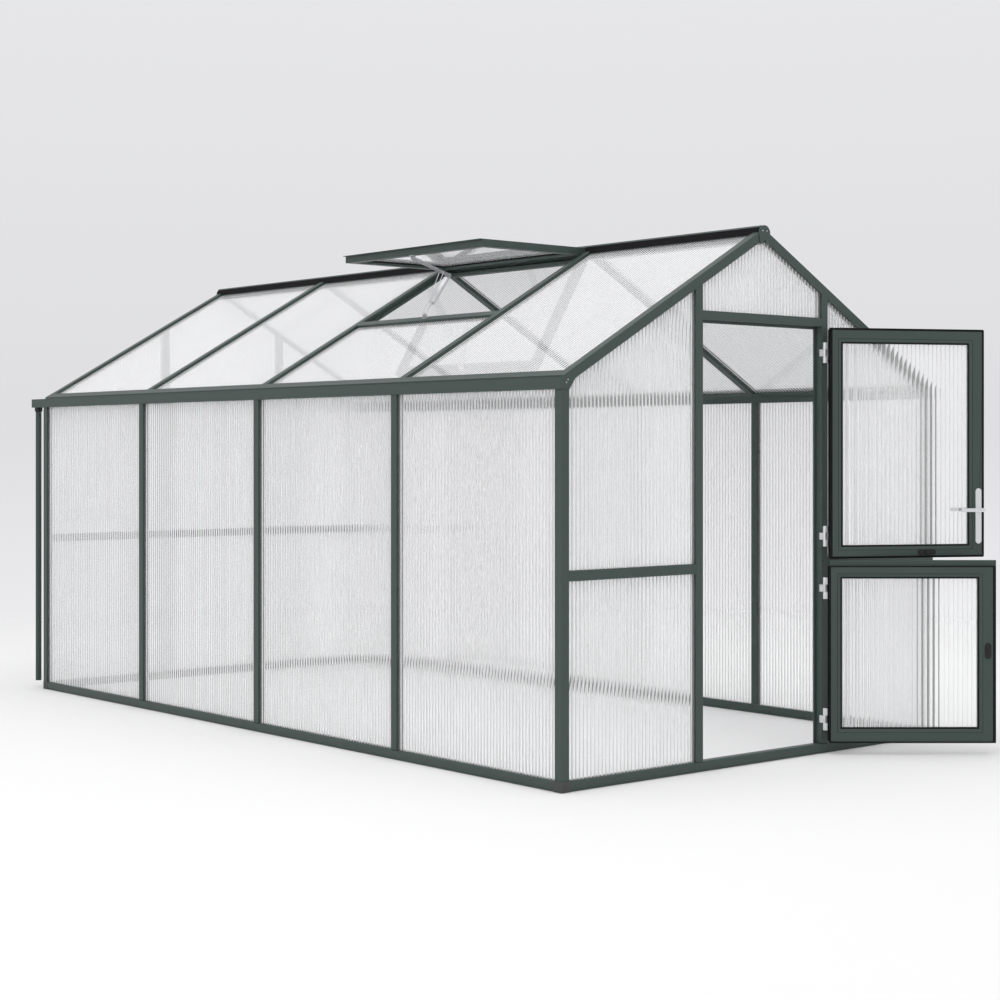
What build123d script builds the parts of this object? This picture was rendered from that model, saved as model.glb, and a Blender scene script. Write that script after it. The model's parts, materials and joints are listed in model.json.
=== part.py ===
from build123d import *
import math
import os

# A walk-in greenhouse: an aluminium frame glazed with ribbed twin-wall sheets, a ridged roof
# with one top-hung vent, gutters with downpipes, and a stable door in the front gable.
# Millimetres. X runs across the front gable, Y from the front gable to the back one, Z up.
# The origin is the middle of the front sill's underside, on the door's threshold.
# Distances called inward are measured from the outer face of a wall towards the inside.

# Overall sizes
WIDTH = 2306
BAY = 1070
BAYS = 4
HALF = WIDTH / 2
LENGTH = BAY * BAYS
RISE = 0.567
ROOF_AT_WALL = 1604

# Frame sections and the sheets they hold
FRAME = 40
FRONT = -FRAME / 2
BACK = FRONT + LENGTH
SHEET_OUT = 12
SHEET_IN = 28
SEAT = 10
SILL_TOP = 42
SILL_LIP = 10
SILL_STEP = 3
SILL_BEVEL = 6
SHOE_ARM = 49
SHOE_PROUD = 1
MIDRAIL_LOW = 813
MIDRAIL_TOP = 854

# Eaves with their gutters
EAVE_UNDER = 1556
EAVE_LIP = 49
GUTTER_OUT = -5
GUTTER_WALL = 3
GUTTER_FLOOR = 1572
GUTTER_TOP = 1602
OUTLET_LENGTH = 130
OUTLET_FLOOR = 1560
OUTLET_HOLE = 28
PLATE = 2.5
GUSSET_LOW = (55, 1577)

# Downpipes
PIPE_INWARD = 15
PIPE_BEHIND = 88
PIPE_WIDTH = 32
PIPE_BORE = 28
PIPE_FOOT = 38
SOCKET_WIDTH = 42
SOCKET_HEIGHT = 22

# Ridge
RIDGE_HALF = 28
RIDGE_TOP = 2270
RIDGE_CROWN = 20
RIDGE_SHOULDER = 2262
RIDGE_LOW = 2194
RIDGE_KEEL = 2210
CAP_HALF = 34
CAP_SIDE = (2222, 2246)
CAP_TOP = 2271.5
CAP_FOOT = (24, 2190)
CAP_THICK = 4

# Roof vent, held open level with the ridge
VENT_BAR = 652
VENT_MARGIN = 15
VENT_FREE = 505
VENT_TOP = 2260
VENT_DEPTH = 34
VENT_RAIL = 40
VENT_SHEET_TOP = 2252
VENT_NOTCH = 32
DRIP = 15
SHEET = SHEET_IN - SHEET_OUT

# Vent opener: foot on the crossbar, elbow, and head under the free rail
OPENER_FOOT = (585, 1952)
OPENER_ELBOW = (730, 2146)
OPENER_HEAD = (517, 2213)
OPENER_ROD = 8
OPENER_CASE = 24
OPENER_ARM = (14, 4)
OPENER_ARM_AT = 10
OPENER_PIN = 28
OPENER_BASE = 20

# Doorway in the front gable
DOOR_POST = 741.5
HEADER_LOW = 1858
HEADER_TOP = 1895
STOP_WIDTH = 12
STOP_FROM = 33
STOP_TO = 40

# Stable door, drawn closed and then swung open about one hinge line
HINGE_X = 378
HINGE_Y = FRONT - 10
LEAF_HINGE_EDGE = 360
LEAF_FREE_EDGE = -353.5
LEAF_DEPTH = 28
FLANGE_LAP = 12
FLANGE_TIP = 8
FLANGE = 3
HINGE_STILE = 46
FREE_STILE = 67
BEAD = 14
BEAD_DROP = 4.5
LEAF_SHEET_OUT = 6
LOWER_LEAF = (47, 842.5)
LOWER_PANE = (112, 770)
LOWER_STRIP = 26
LOWER_STRIP_DEPTH = 15
LOWER_OPEN = 139.8
UPPER_LEAF = (847.5, 1853)
UPPER_PANE = (900, 1790)
UPPER_OPEN = 152.3

# Hinges
KNUCKLE = 7.5
HINGE_PIN = 3.2
HINGE_BORE = 3.5
KNUCKLE_GAP = 0.5
LOWER_HINGES = ((102, 197), (673, 766))
UPPER_HINGES = ((901, 990), (1699, 1788))
WING = 2.5
WING_REACH = 22
STRAP = 4
STRAP_REACH = 48
STRAP_LIFT = 1.5

# Lever handle and catches
LEVER_X = -327
LEVER_Z = 1057
LEVER_LENGTH = 95
LEVER_HEIGHT = 17
LEVER_THICK = 11
LEVER_STAND = 45
LEVER_TAIL = 6
SPINDLE = 5
SPINDLE_HOLE = 6.5
NECK = 9
HANDLE_PLATE = (28, 244)
HANDLE_PLATE_Z = 1030
HANDLE_PLATE_THICK = 5
UPPER_CATCH = (-83, 873.5, 84, 25)
LOWER_CATCH = (-324, 450, 28, 70)
CATCH_THICK = 3
CATCH_KNOB = 9
CATCH_KNOB_REACH = 9

SLOPE = math.atan(RISE)
COS = math.cos(SLOPE)
SIN = math.sin(SLOPE)
RAKE_FROM = EAVE_LIP / COS
RIDGE_FACE = HALF - RIDGE_HALF
BAY_LINES = [FRONT + BAY * i for i in range(1, BAYS)]
SHEET_TOP_DEPTH = FRAME - SEAT
MID_PLANE = Plane.XZ.offset(-(FRONT + BACK) / 2)


def along_x(outline, start, end):
    """A section drawn in Y and Z, run along X."""
    face = make_face(Polyline(*[(start, y, z) for y, z in outline], close=True))
    return extrude(face, amount=end - start, dir=(1, 0, 0))


def along_y(outline, start, end):
    """A section drawn in X and Z, run along Y."""
    face = make_face(Polyline(*[(x, start, z) for x, z in outline], close=True))
    return extrude(face, amount=end - start, dir=(0, 1, 0))


def along_z(outline, start, end):
    """A section drawn in X and Y, run up Z."""
    face = make_face(Polyline(*[(x, y, start) for x, y in outline], close=True))
    return extrude(face, amount=end - start, dir=(0, 0, 1))


def block(x_span, y_span, z_span):
    """A box between two limits on each axis."""
    low = (x_span[0], y_span[0], z_span[0])
    size = (x_span[1] - x_span[0], y_span[1] - y_span[0], z_span[1] - z_span[0])
    return Pos(*low) * Box(*size, align=(Align.MIN, Align.MIN, Align.MIN))


def rod(start, end, radius):
    """A round bar between two points."""
    run = Vector(*end) - Vector(*start)
    return Plane(origin=start, z_dir=run) * Cylinder(
        radius, run.length, align=(Align.CENTER, Align.CENTER, Align.MIN)
    )


def inward(x):
    """The X of a point that lies x inside the left wall's outer face."""
    return x - HALF


def left_outline(points):
    """An outline given inward from the left wall, in the object's own X."""
    return [(inward(x), z) for x, z in points]


def right_of(piece):
    """The same piece on the other side of the ridge."""
    return mirror(piece, Plane.YZ)


def back_of(piece):
    """The same piece on the back gable."""
    return mirror(piece, MID_PLANE)


def four_corners(piece):
    """A front left piece and its three mirror images."""
    pair = [piece, right_of(piece)]
    return pair + [back_of(p) for p in pair]


def roof_z(x, depth):
    """Height of the plane that lies depth under the roof plane, x inward from the wall."""
    return ROOF_AT_WALL + RISE * x - depth / COS


def on_slope(s, depth):
    """A point s up the left slope from the wall plane and depth under the roof plane."""
    return (inward(s * COS + depth * SIN), ROOF_AT_WALL + s * SIN - depth * COS)


def slope_band(start, end, top, bottom):
    """A band of the left slope with square ends."""
    return [on_slope(start, top), on_slope(end, top), on_slope(end, bottom), on_slope(start, bottom)]


def rake_band(top, bottom):
    """A band of the left slope from the eave to the ridge's upright face."""
    return [
        on_slope(RAKE_FROM, top),
        (-RIDGE_HALF, roof_z(RIDGE_FACE, top)),
        (-RIDGE_HALF, roof_z(RIDGE_FACE, bottom)),
        on_slope(RAKE_FROM, bottom),
    ]


def sheet_end():
    """How far up the slope the roof sheets reach into the ridge."""
    return (RIDGE_FACE - SHEET_OUT * SIN) / COS + SEAT


def sill_outline(grooved):
    """A sill's section, inward and up: a narrow foot, a bevelled top and the sheet's groove."""
    groove = [
        (SHEET_IN, SILL_TOP),
        (SHEET_IN, SILL_TOP - SEAT),
        (SHEET_OUT, SILL_TOP - SEAT),
        (SHEET_OUT, SILL_TOP),
    ]
    return [
        (SILL_STEP, 0),
        (FRAME - SILL_STEP, 0),
        (FRAME - SILL_STEP, SILL_LIP),
        (FRAME, SILL_LIP),
        (FRAME, SILL_TOP),
        *(groove if grooved else []),
        (SILL_BEVEL, SILL_TOP),
        (0, SILL_TOP - SILL_BEVEL),
        (0, SILL_LIP),
        (SILL_STEP, SILL_LIP),
    ]


def make_sills():
    """The four sills. The front one is the door's threshold, so its groove stops at the door."""
    side = along_y(left_outline(sill_outline(True)), FRONT + SHOE_ARM, BACK - SHOE_ARM)
    across = (inward(SHOE_ARM), -inward(SHOE_ARM))
    gable = [(FRONT + y, z) for y, z in sill_outline(True)]
    front = along_x([(FRONT + y, z) for y, z in sill_outline(False)], *across)
    groove = block(
        (inward(SHOE_ARM), inward(DOOR_POST + SEAT)),
        (FRONT + SHEET_OUT, FRONT + SHEET_IN),
        (SILL_TOP - SEAT, SILL_TOP),
    )
    return {
        "sill_front": [front - groove - right_of(groove)],
        "sill_back": [back_of(along_x(gable, *across))],
        "sill_left": [side],
        "sill_right": [right_of(side)],
    }


def make_base_corners():
    """Moulded corner shoes under the corner posts, which join the sills."""
    low = -SHOE_PROUD
    outline = [
        (low, low),
        (SHOE_ARM, low),
        (SHOE_ARM, FRAME),
        (FRAME, FRAME),
        (FRAME, SHOE_ARM),
        (low, SHOE_ARM),
    ]
    shoe = along_z([(inward(x), FRONT + y) for x, y in outline], 0, SILL_TOP)
    arm = (FRAME - SEAT, SHOE_ARM)
    sheet = (SHEET_OUT, SHEET_IN)
    height = (SILL_TOP - SEAT, SILL_TOP)
    for x_span, y_span in ((sheet, arm), (arm, sheet)):
        xs = [inward(x) for x in x_span]
        ys = [FRONT + y for y in y_span]
        shoe -= block(xs, ys, height)
    return {"base_corners": four_corners(shoe)}


def make_corner_posts():
    """Square corner posts with a groove for the side sheet and one for the gable sheet."""
    points = [
        (0, 0),
        (FRAME, 0),
        (FRAME, SHEET_OUT),
        (FRAME - SEAT, SHEET_OUT),
        (FRAME - SEAT, SHEET_IN),
        (FRAME, SHEET_IN),
        (FRAME, FRAME),
        (SHEET_IN, FRAME),
        (SHEET_IN, FRAME - SEAT),
        (SHEET_OUT, FRAME - SEAT),
        (SHEET_OUT, FRAME),
        (0, FRAME),
    ]
    post = along_z([(inward(x), FRONT + y) for x, y in points], SILL_TOP, EAVE_UNDER)
    return {"corner_posts": four_corners(post)}


def side_post(line):
    """A side wall post at a bay line, grooved on both edges."""
    half = FRAME / 2
    points = [
        (0, -half),
        (SHEET_OUT, -half),
        (SHEET_OUT, SEAT - half),
        (SHEET_IN, SEAT - half),
        (SHEET_IN, -half),
        (FRAME, -half),
        (FRAME, half),
        (SHEET_IN, half),
        (SHEET_IN, half - SEAT),
        (SHEET_OUT, half - SEAT),
        (SHEET_OUT, half),
        (0, half),
    ]
    return along_z([(inward(x), line + y) for x, y in points], SILL_TOP, EAVE_UNDER)


def make_side_posts():
    """Three posts along each side wall."""
    posts = [side_post(line) for line in BAY_LINES]
    return {"posts_left": posts, "posts_right": [right_of(p) for p in posts]}


def gable_post(groove_from):
    """A gable post cut to the rake, with its inner groove starting at groove_from."""
    near, far = DOOR_POST, DOOR_POST + FRAME
    outline = [
        (near, SILL_TOP),
        (far, SILL_TOP),
        (far, roof_z(far, FRAME)),
        (near, roof_z(near, FRAME)),
    ]
    post = along_y(left_outline(outline), FRONT, FRONT + FRAME)
    ys = (FRONT + SHEET_OUT, FRONT + SHEET_IN)
    top = roof_z(far, 0)
    post -= block((inward(near), inward(near + SEAT)), ys, (SILL_TOP, top))
    post -= block((inward(far - SEAT), inward(far)), ys, (groove_from, top))
    return post


def gable_rail(start, end):
    """A rail across a section of the front gable, grooved above and below."""
    rail = block(
        (inward(start), inward(end)), (FRONT, FRONT + FRAME), (MIDRAIL_LOW, MIDRAIL_TOP)
    )
    ys = (FRONT + SHEET_OUT, FRONT + SHEET_IN)
    xs = (inward(start), inward(end))
    rail -= block(xs, ys, (MIDRAIL_LOW, MIDRAIL_LOW + SEAT))
    return rail - block(xs, ys, (MIDRAIL_TOP - SEAT, MIDRAIL_TOP))


def make_gable_frames():
    """Posts, rails and the door's header in the two gables."""
    door_post = gable_post(HEADER_TOP - SEAT)
    back_post = back_of(gable_post(SILL_TOP))
    side_rail = gable_rail(FRAME, DOOR_POST)
    centre_rail = gable_rail(DOOR_POST + FRAME, WIDTH - DOOR_POST - FRAME)
    opening = (inward(DOOR_POST + FRAME), -inward(DOOR_POST + FRAME))
    header = block(opening, (FRONT, FRONT + FRAME), (HEADER_LOW, HEADER_TOP))
    header -= block(
        opening, (FRONT + SHEET_OUT, FRONT + SHEET_IN), (HEADER_TOP - SEAT, HEADER_TOP)
    )
    back_rails = [back_of(rail) for rail in (side_rail, centre_rail, right_of(side_rail))]
    return {
        "door_posts": [door_post, right_of(door_post)],
        "back_posts": [back_post, right_of(back_post)],
        "front_midrails": [side_rail, right_of(side_rail)],
        "back_midrails": back_rails,
        "door_header": [header],
    }


def make_door_stops():
    """Thin strips round the doorway that the closed leaves rest against."""
    edge = DOOR_POST + FRAME
    ys = (FRONT + STOP_FROM, FRONT + STOP_TO)
    upright = block((inward(edge), inward(edge + STOP_WIDTH)), ys, (SILL_TOP, HEADER_LOW))
    span = inward(edge + STOP_WIDTH + 1)
    lintel = block((span, -span), ys, (HEADER_LOW - STOP_WIDTH, HEADER_LOW))
    return {"door_stops": [upright, right_of(upright), lintel]}


def eave_outline():
    """The left eave's section: gutter outside, roof sheet's groove, wall sheet's groove."""
    channel = GUTTER_OUT + GUTTER_WALL
    bare = [
        (GUTTER_OUT, EAVE_UNDER),
        (GUTTER_OUT, GUTTER_TOP),
        (channel, GUTTER_TOP),
        (channel, GUTTER_FLOOR),
        (SHEET_OUT, GUTTER_FLOOR),
        (SHEET_OUT, roof_z(SHEET_OUT, 0)),
    ]
    foot = [
        (FRAME, roof_z(FRAME, FRAME)),
        (FRAME, EAVE_UNDER),
        (SHEET_IN, EAVE_UNDER),
        (SHEET_IN, EAVE_UNDER + SEAT),
        (SHEET_OUT, EAVE_UNDER + SEAT),
        (SHEET_OUT, EAVE_UNDER),
    ]
    lips = [
        on_slope(RAKE_FROM, 0),
        on_slope(RAKE_FROM, SHEET_OUT),
        on_slope(RAKE_FROM - SEAT, SHEET_OUT),
        on_slope(RAKE_FROM - SEAT, SHEET_IN),
        on_slope(RAKE_FROM, SHEET_IN),
        on_slope(RAKE_FROM, FRAME),
    ]
    return left_outline(bare) + lips + left_outline(foot)


def make_eaves():
    """Eave beams with gutters, which run on past the back gable into an open outlet box."""
    beam = along_y(eave_outline(), FRONT, BACK)
    sides = (inward(GUTTER_OUT), inward(FRAME))
    outlet = block(sides, (BACK, BACK + OUTLET_LENGTH), (EAVE_UNDER, GUTTER_TOP))
    outlet -= block(
        (sides[0] + GUTTER_WALL, sides[1] - GUTTER_WALL),
        (BACK, BACK + OUTLET_LENGTH),
        (OUTLET_FLOOR, GUTTER_TOP),
    )
    centre = (inward(PIPE_INWARD), BACK + PIPE_BEHIND)
    outlet -= rod((*centre, EAVE_UNDER), (*centre, OUTLET_FLOOR), OUTLET_HOLE / 2)
    eave = beam + outlet
    return {"eave_left": [eave], "eave_right": [right_of(eave)]}


def make_end_plates():
    """Gusset plates that close the eaves at both gables, and the outlets' end plates."""
    shoulder = [
        (SHEET_OUT, roof_z(SHEET_OUT, 0)),
        (EAVE_LIP, roof_z(EAVE_LIP, 0)),
    ]
    heel = [GUSSET_LOW, (FRAME, EAVE_UNDER)]
    tip = [on_slope(RAKE_FROM, FRAME)]
    gutter_end = [(GUTTER_OUT, EAVE_UNDER), (GUTTER_OUT, GUTTER_TOP)]
    inner_end = [(FRAME, GUTTER_TOP), (SHEET_OUT, GUTTER_TOP)]
    front = left_outline(gutter_end + shoulder) + tip + left_outline(heel)
    back = left_outline(inner_end + shoulder) + tip + left_outline(heel)
    end = BACK + OUTLET_LENGTH
    stop = block((inward(GUTTER_OUT), inward(FRAME)), (end, end + PLATE), (EAVE_UNDER, GUTTER_TOP))
    plates = [along_y(front, FRONT - PLATE, FRONT), along_y(back, BACK, BACK + PLATE), stop]
    return {"eave_end_plates": plates + [right_of(p) for p in plates]}


def make_downpipes():
    """A round downpipe with its socket under each outlet."""
    x, y = inward(PIPE_INWARD), BACK + PIPE_BEHIND
    collar_foot = EAVE_UNDER - SOCKET_HEIGHT

    def tube(low, high, width):
        solid = rod((x, y, low), (x, y, high), width / 2)
        return solid - rod((x, y, low), (x, y, high), PIPE_BORE / 2)

    pipe = tube(PIPE_FOOT, collar_foot, PIPE_WIDTH)
    socket = tube(collar_foot, EAVE_UNDER, SOCKET_WIDTH)
    return {
        "downpipes": [pipe, right_of(pipe)],
        "pipe_sockets": [socket, right_of(socket)],
    }


def make_ridge():
    """The ridge beam with a groove for the sheets of each slope, and its end caps."""
    end = sheet_end()
    slot_top = roof_z(RIDGE_FACE, SHEET_OUT)
    slot_low = roof_z(RIDGE_FACE, SHEET_IN)
    left = [
        (0, RIDGE_KEEL),
        (-RIDGE_HALF, RIDGE_LOW),
        (-RIDGE_HALF, slot_low),
        on_slope(end, SHEET_IN),
        on_slope(end, SHEET_OUT),
        (-RIDGE_HALF, slot_top),
        (-RIDGE_HALF, RIDGE_SHOULDER),
        (-RIDGE_CROWN, RIDGE_TOP),
    ]
    right = [(-x, z) for x, z in reversed(left[1:])]
    beam = along_y(left + right, FRONT, BACK)
    side_low, side_top = CAP_SIDE
    foot_half, foot_z = CAP_FOOT
    y = FRONT - CAP_THICK
    crown = ThreePointArc((-CAP_HALF, y, side_top), (0, y, CAP_TOP), (CAP_HALF, y, side_top))
    edges = Polyline(
        (CAP_HALF, y, side_top),
        (CAP_HALF, y, side_low),
        (foot_half, y, foot_z),
        (0, y, RIDGE_KEEL),
        (-foot_half, y, foot_z),
        (-CAP_HALF, y, side_low),
        (-CAP_HALF, y, side_top),
    )
    cap = extrude(make_face(edges + crown), amount=CAP_THICK, dir=(0, 1, 0))
    return {"ridge_beam": [beam], "ridge_caps": [cap, back_of(cap)]}


def make_rakes():
    """Sloping end rafters on the gables, grooved for the roof sheet and the gable sheet."""
    rake = along_y(rake_band(0, FRAME), FRONT, FRONT + FRAME)
    rake -= along_y(rake_band(SHEET_OUT, SHEET_IN), FRONT + FRAME - SEAT, FRONT + FRAME)
    rake -= along_y(rake_band(SHEET_TOP_DEPTH, FRAME), FRONT + SHEET_OUT, FRONT + SHEET_IN)
    pair = [rake, right_of(rake)]
    return {"rakes_front": pair, "rakes_back": [back_of(r) for r in pair]}


def make_rafters():
    """Rafters over the side posts, grooved on both sides."""
    half = FRAME / 2
    rafters = []
    for line in BAY_LINES:
        rafter = along_y(rake_band(0, FRAME), line - half, line + half)
        rafter -= along_y(rake_band(SHEET_OUT, SHEET_IN), line - half, line - half + SEAT)
        rafter -= along_y(rake_band(SHEET_OUT, SHEET_IN), line + half - SEAT, line + half)
        rafters.append(rafter)
    return {"rafters_left": rafters, "rafters_right": [right_of(r) for r in rafters]}


def bay_spans():
    """The Y limits of the sheet in each bay, from groove bottom to groove bottom."""
    reach = FRAME / 2 - SEAT
    lows = [FRONT + FRAME - SEAT] + [line + reach for line in BAY_LINES]
    highs = [line - reach for line in BAY_LINES] + [BACK - FRAME + SEAT]
    return list(zip(lows, highs))


def make_wall_sheets():
    """One upright sheet in each bay of both side walls."""
    xs = (inward(SHEET_OUT), inward(SHEET_IN))
    zs = (SILL_TOP - SEAT, EAVE_UNDER + SEAT)
    sheets = [block(xs, ys, zs) for ys in bay_spans()]
    return {"wall_sheets_left": sheets, "wall_sheets_right": [right_of(s) for s in sheets]}


def make_roof_sheets():
    """One sheet in each bay of both slopes. The vent's bay has a short one under the vent."""
    full = slope_band(RAKE_FROM - SEAT, sheet_end(), SHEET_OUT, SHEET_IN)
    short = slope_band(RAKE_FROM - SEAT, VENT_BAR + SEAT, SHEET_OUT, SHEET_IN)
    spans = bay_spans()
    left = [along_y(short if i == 1 else full, *ys) for i, ys in enumerate(spans)]
    right = [right_of(along_y(full, *ys)) for ys in spans]
    return {"roof_sheets_left": left, "roof_sheets_right": right}


def gable_side_sheets():
    """The lower and upper sheets beside the middle section of the front gable, on the left."""
    near, far = FRAME - SEAT, DOOR_POST + SEAT
    ys = (FRONT + SHEET_OUT, FRONT + SHEET_IN)
    lower = block((inward(near), inward(far)), ys, (SILL_TOP - SEAT, MIDRAIL_LOW + SEAT))
    outline = left_outline([
        (far, MIDRAIL_TOP - SEAT),
        (near, MIDRAIL_TOP - SEAT),
        (near, EAVE_UNDER),
        (FRAME, EAVE_UNDER),
        (FRAME, roof_z(FRAME, FRAME)),
    ])
    outline += [on_slope(RAKE_FROM, FRAME), on_slope(RAKE_FROM, SHEET_TOP_DEPTH)]
    outline += left_outline([(far, roof_z(far, SHEET_TOP_DEPTH))])
    return [lower, along_y(outline, *ys)]


def gable_top_sheet(low):
    """The pointed sheet between the gable posts, from low up to the ridge."""
    near = DOOR_POST + FRAME - SEAT
    left = left_outline([
        (near, low),
        (near, roof_z(near, SHEET_TOP_DEPTH)),
        (RIDGE_FACE, roof_z(RIDGE_FACE, SHEET_TOP_DEPTH)),
        (RIDGE_FACE, RIDGE_LOW),
    ])
    outline = left + [(0, RIDGE_KEEL)] + [(-x, z) for x, z in reversed(left)]
    return along_y(outline, FRONT + SHEET_OUT, FRONT + SHEET_IN)


def make_gable_sheets():
    """The sheets of the two gables."""
    side = gable_side_sheets()
    near = inward(DOOR_POST + FRAME - SEAT)
    ys = (FRONT + SHEET_OUT, FRONT + SHEET_IN)
    centre = block((near, -near), ys, (SILL_TOP - SEAT, MIDRAIL_LOW + SEAT))
    sides = side + [right_of(s) for s in side]
    back = sides + [centre, gable_top_sheet(MIDRAIL_TOP - SEAT)]
    return {
        "front_sheets": sides,
        "front_top_sheet": [gable_top_sheet(HEADER_TOP - SEAT)],
        "back_sheets": [back_of(s) for s in back],
    }


def make_vent():
    """The roof vent, hung from the ridge and held level, with its crossbar."""
    line = BAY_LINES[0]
    half = FRAME / 2
    bar = along_y(slope_band(VENT_BAR, VENT_BAR + FRAME, 0, FRAME), line + half, line + BAY - half)
    bar -= along_y(
        slope_band(VENT_BAR, VENT_BAR + SEAT, SHEET_OUT, SHEET_IN), line + half, line + BAY - half
    )
    xs = (inward(VENT_FREE), inward(RIDGE_FACE))
    ys = (line + VENT_MARGIN, line + BAY - VENT_MARGIN)
    zs = (VENT_TOP - VENT_DEPTH, VENT_TOP)
    hole_x = (xs[0] + VENT_RAIL, xs[1] - VENT_RAIL)
    hole_y = (ys[0] + VENT_RAIL, ys[1] - VENT_RAIL)
    pane_x = (hole_x[0] - SEAT, hole_x[1] + SEAT)
    pane_y = (hole_y[0] - SEAT, hole_y[1] + SEAT)
    pane = block(pane_x, pane_y, (VENT_SHEET_TOP - SHEET, VENT_SHEET_TOP))
    drip = block((xs[0] - DRIP, xs[0]), ys, (VENT_TOP - GUTTER_WALL, VENT_TOP))
    frame = block(xs, ys, zs) + drip
    frame = frame - block(hole_x, hole_y, zs) - pane
    notch_x = (xs[1] - VENT_NOTCH, xs[1])
    for notch_y in ((ys[0], line + half), (line + BAY - half, ys[1])):
        frame -= block(notch_x, notch_y, zs)
    return {"vent_crossbar": [bar], "vent_frame": [frame], "vent_sheet": [pane]}


def make_opener():
    """The wax-piston opener: a foot, a cylinder on a rod, an elbow and two arms to the vent."""
    y = BAY_LINES[0] + BAY / 2
    (fx, fz), (ex, ez), (hx, hz) = OPENER_FOOT, OPENER_ELBOW, OPENER_HEAD
    foot, elbow, head = (inward(fx), y, fz), (inward(ex), y, ez), (inward(hx), y, hz)
    half = OPENER_PIN / 2
    run = Vector(*elbow) - Vector(*foot)
    case_from = Vector(*foot) + run * 0.15
    case_to = Vector(*foot) + run * 0.8
    piece = rod(foot, elbow, OPENER_ROD / 2)
    piece += rod(tuple(case_from), tuple(case_to), OPENER_CASE / 2)
    arm_run = Vector(*head) - Vector(*elbow)
    height, thick = OPENER_ARM
    arm = Box(arm_run.length + height, thick, height)
    middle = Vector(*elbow) + arm_run * 0.5
    turn = math.degrees(math.atan2(arm_run.Z, -arm_run.X))
    for side in (-1, 1):
        place = Pos(middle.X, y + side * OPENER_ARM_AT, middle.Z)
        piece += place * Rot(0, turn, 0) * arm
    for x, z in ((elbow[0], ez), (head[0], hz)):
        piece += rod((x, y - half, z), (x, y + half, z), OPENER_ROD / 2)
    top = VENT_TOP - VENT_DEPTH
    piece += block((head[0] - SEAT, head[0] + SEAT), (y - half, y + half), (hz, top))
    base = slope_band(VENT_BAR + FRAME - OPENER_BASE, VENT_BAR + FRAME, -OPENER_BASE, 0)
    piece += along_y(base, y - half, y + half)
    return {"vent_opener": [piece]}


def swing(piece, angle):
    """Turns a piece of the closed door about the hinge line, outwards."""
    return piece.rotate(Axis((HINGE_X, HINGE_Y, 0), (0, 0, 1)), angle)


def leaf_frame(leaf, body, pane):
    """A leaf's frame, closed: the body, its outer flange, and the pane's bead and groove."""
    inner = FRONT + LEAF_DEPTH
    solid = block((LEAF_FREE_EDGE, LEAF_HINGE_EDGE), (FRONT, inner), body)
    solid += block((LEAF_FREE_EDGE - FLANGE_LAP, LEAF_HINGE_EDGE), (FRONT, FRONT + FLANGE), leaf)
    x_low, x_high = LEAF_FREE_EDGE + FREE_STILE, LEAF_HINGE_EDGE - HINGE_STILE
    z_low, z_high = pane
    solid -= block((x_low, x_high), (FRONT, inner), pane)
    solid -= leaf_sheet(pane)
    centre = ((x_low + x_high) / 2, (z_low + z_high) / 2)
    size = (x_high - x_low, z_high - z_low)
    deep = Plane(origin=(centre[0], inner - BEAD_DROP, centre[1]), x_dir=(1, 0, 0), z_dir=(0, -1, 0))
    face = Plane(origin=(centre[0], inner, centre[1]), x_dir=(1, 0, 0), z_dir=(0, -1, 0))
    wide = [side + 2 * BEAD for side in size]
    return solid - loft([deep * Rectangle(*size), face * Rectangle(*wide)])


def leaf_sheet(pane):
    """A leaf's sheet, closed, out to the bottom of its groove."""
    xs = (LEAF_FREE_EDGE + FREE_STILE - SEAT, LEAF_HINGE_EDGE - HINGE_STILE + SEAT)
    ys = (FRONT + LEAF_SHEET_OUT, FRONT + LEAF_SHEET_OUT + SHEET)
    return block(xs, ys, (pane[0] - SEAT, pane[1] + SEAT))


def knuckle_spans(low, high):
    """The heights of a hinge's three knuckles."""
    third = (high - low) / 3
    return [
        (low, low + third - KNUCKLE_GAP),
        (low + third, high - third),
        (high - third + KNUCKLE_GAP, high),
    ]


def leaf_hinge(low, high):
    """The leaf's half of a hinge: two knuckles on a pin, each with a strap on the leaf's face."""
    pin = rod((HINGE_X, HINGE_Y, low), (HINGE_X, HINGE_Y, high), HINGE_PIN)
    spans = knuckle_spans(low, high)
    for start, end in (spans[0], spans[2]):
        pin += rod((HINGE_X, HINGE_Y, start), (HINGE_X, HINGE_Y, end), KNUCKLE)
        outer = FRONT - STRAP
        pin += along_z(
            [
                (HINGE_X, outer),
                (HINGE_X, FRONT - STRAP_LIFT),
                (LEAF_HINGE_EDGE, FRONT - STRAP_LIFT),
                (LEAF_HINGE_EDGE, FRONT),
                (HINGE_X - STRAP_REACH, FRONT),
                (HINGE_X - STRAP_REACH, outer),
            ],
            start,
            end,
        )
    return pin


def jamb_hinge(low, high):
    """The post's half of a hinge: the middle knuckle and a wing on the doorway's side."""
    start, end = knuckle_spans(low, high)[1]
    jamb = -inward(DOOR_POST + FRAME)
    wing = block((jamb - WING, jamb), (HINGE_Y, HINGE_Y + WING_REACH), (start, end))
    half = rod((HINGE_X, HINGE_Y, start), (HINGE_X, HINGE_Y, end), KNUCKLE) + wing
    return half - rod((HINGE_X, HINGE_Y, start), (HINGE_X, HINGE_Y, end), HINGE_BORE)


def slot_plate(x, z, size, y_span):
    """A plate with round ends that lies on a leaf's face."""
    width, height = size
    long_side = max(width, height)
    turn = 90 if height > width else 0
    plane = Plane(origin=(x, y_span[0], z), x_dir=(1, 0, 0), z_dir=(0, 1, 0))
    outline = plane * Rot(0, 0, turn) * SlotOverall(long_side, min(width, height))
    return extrude(outline, amount=y_span[1] - y_span[0], dir=(0, 1, 0))


def catch(x, z, width, height):
    """An oval catch with a thumb knob on a leaf's inner face."""
    inner = FRONT + LEAF_DEPTH
    plate = slot_plate(x, z, (width, height), (inner, inner + CATCH_THICK))
    return plate + rod((x, inner, z), (x, inner + CATCH_KNOB_REACH, z), CATCH_KNOB)


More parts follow.
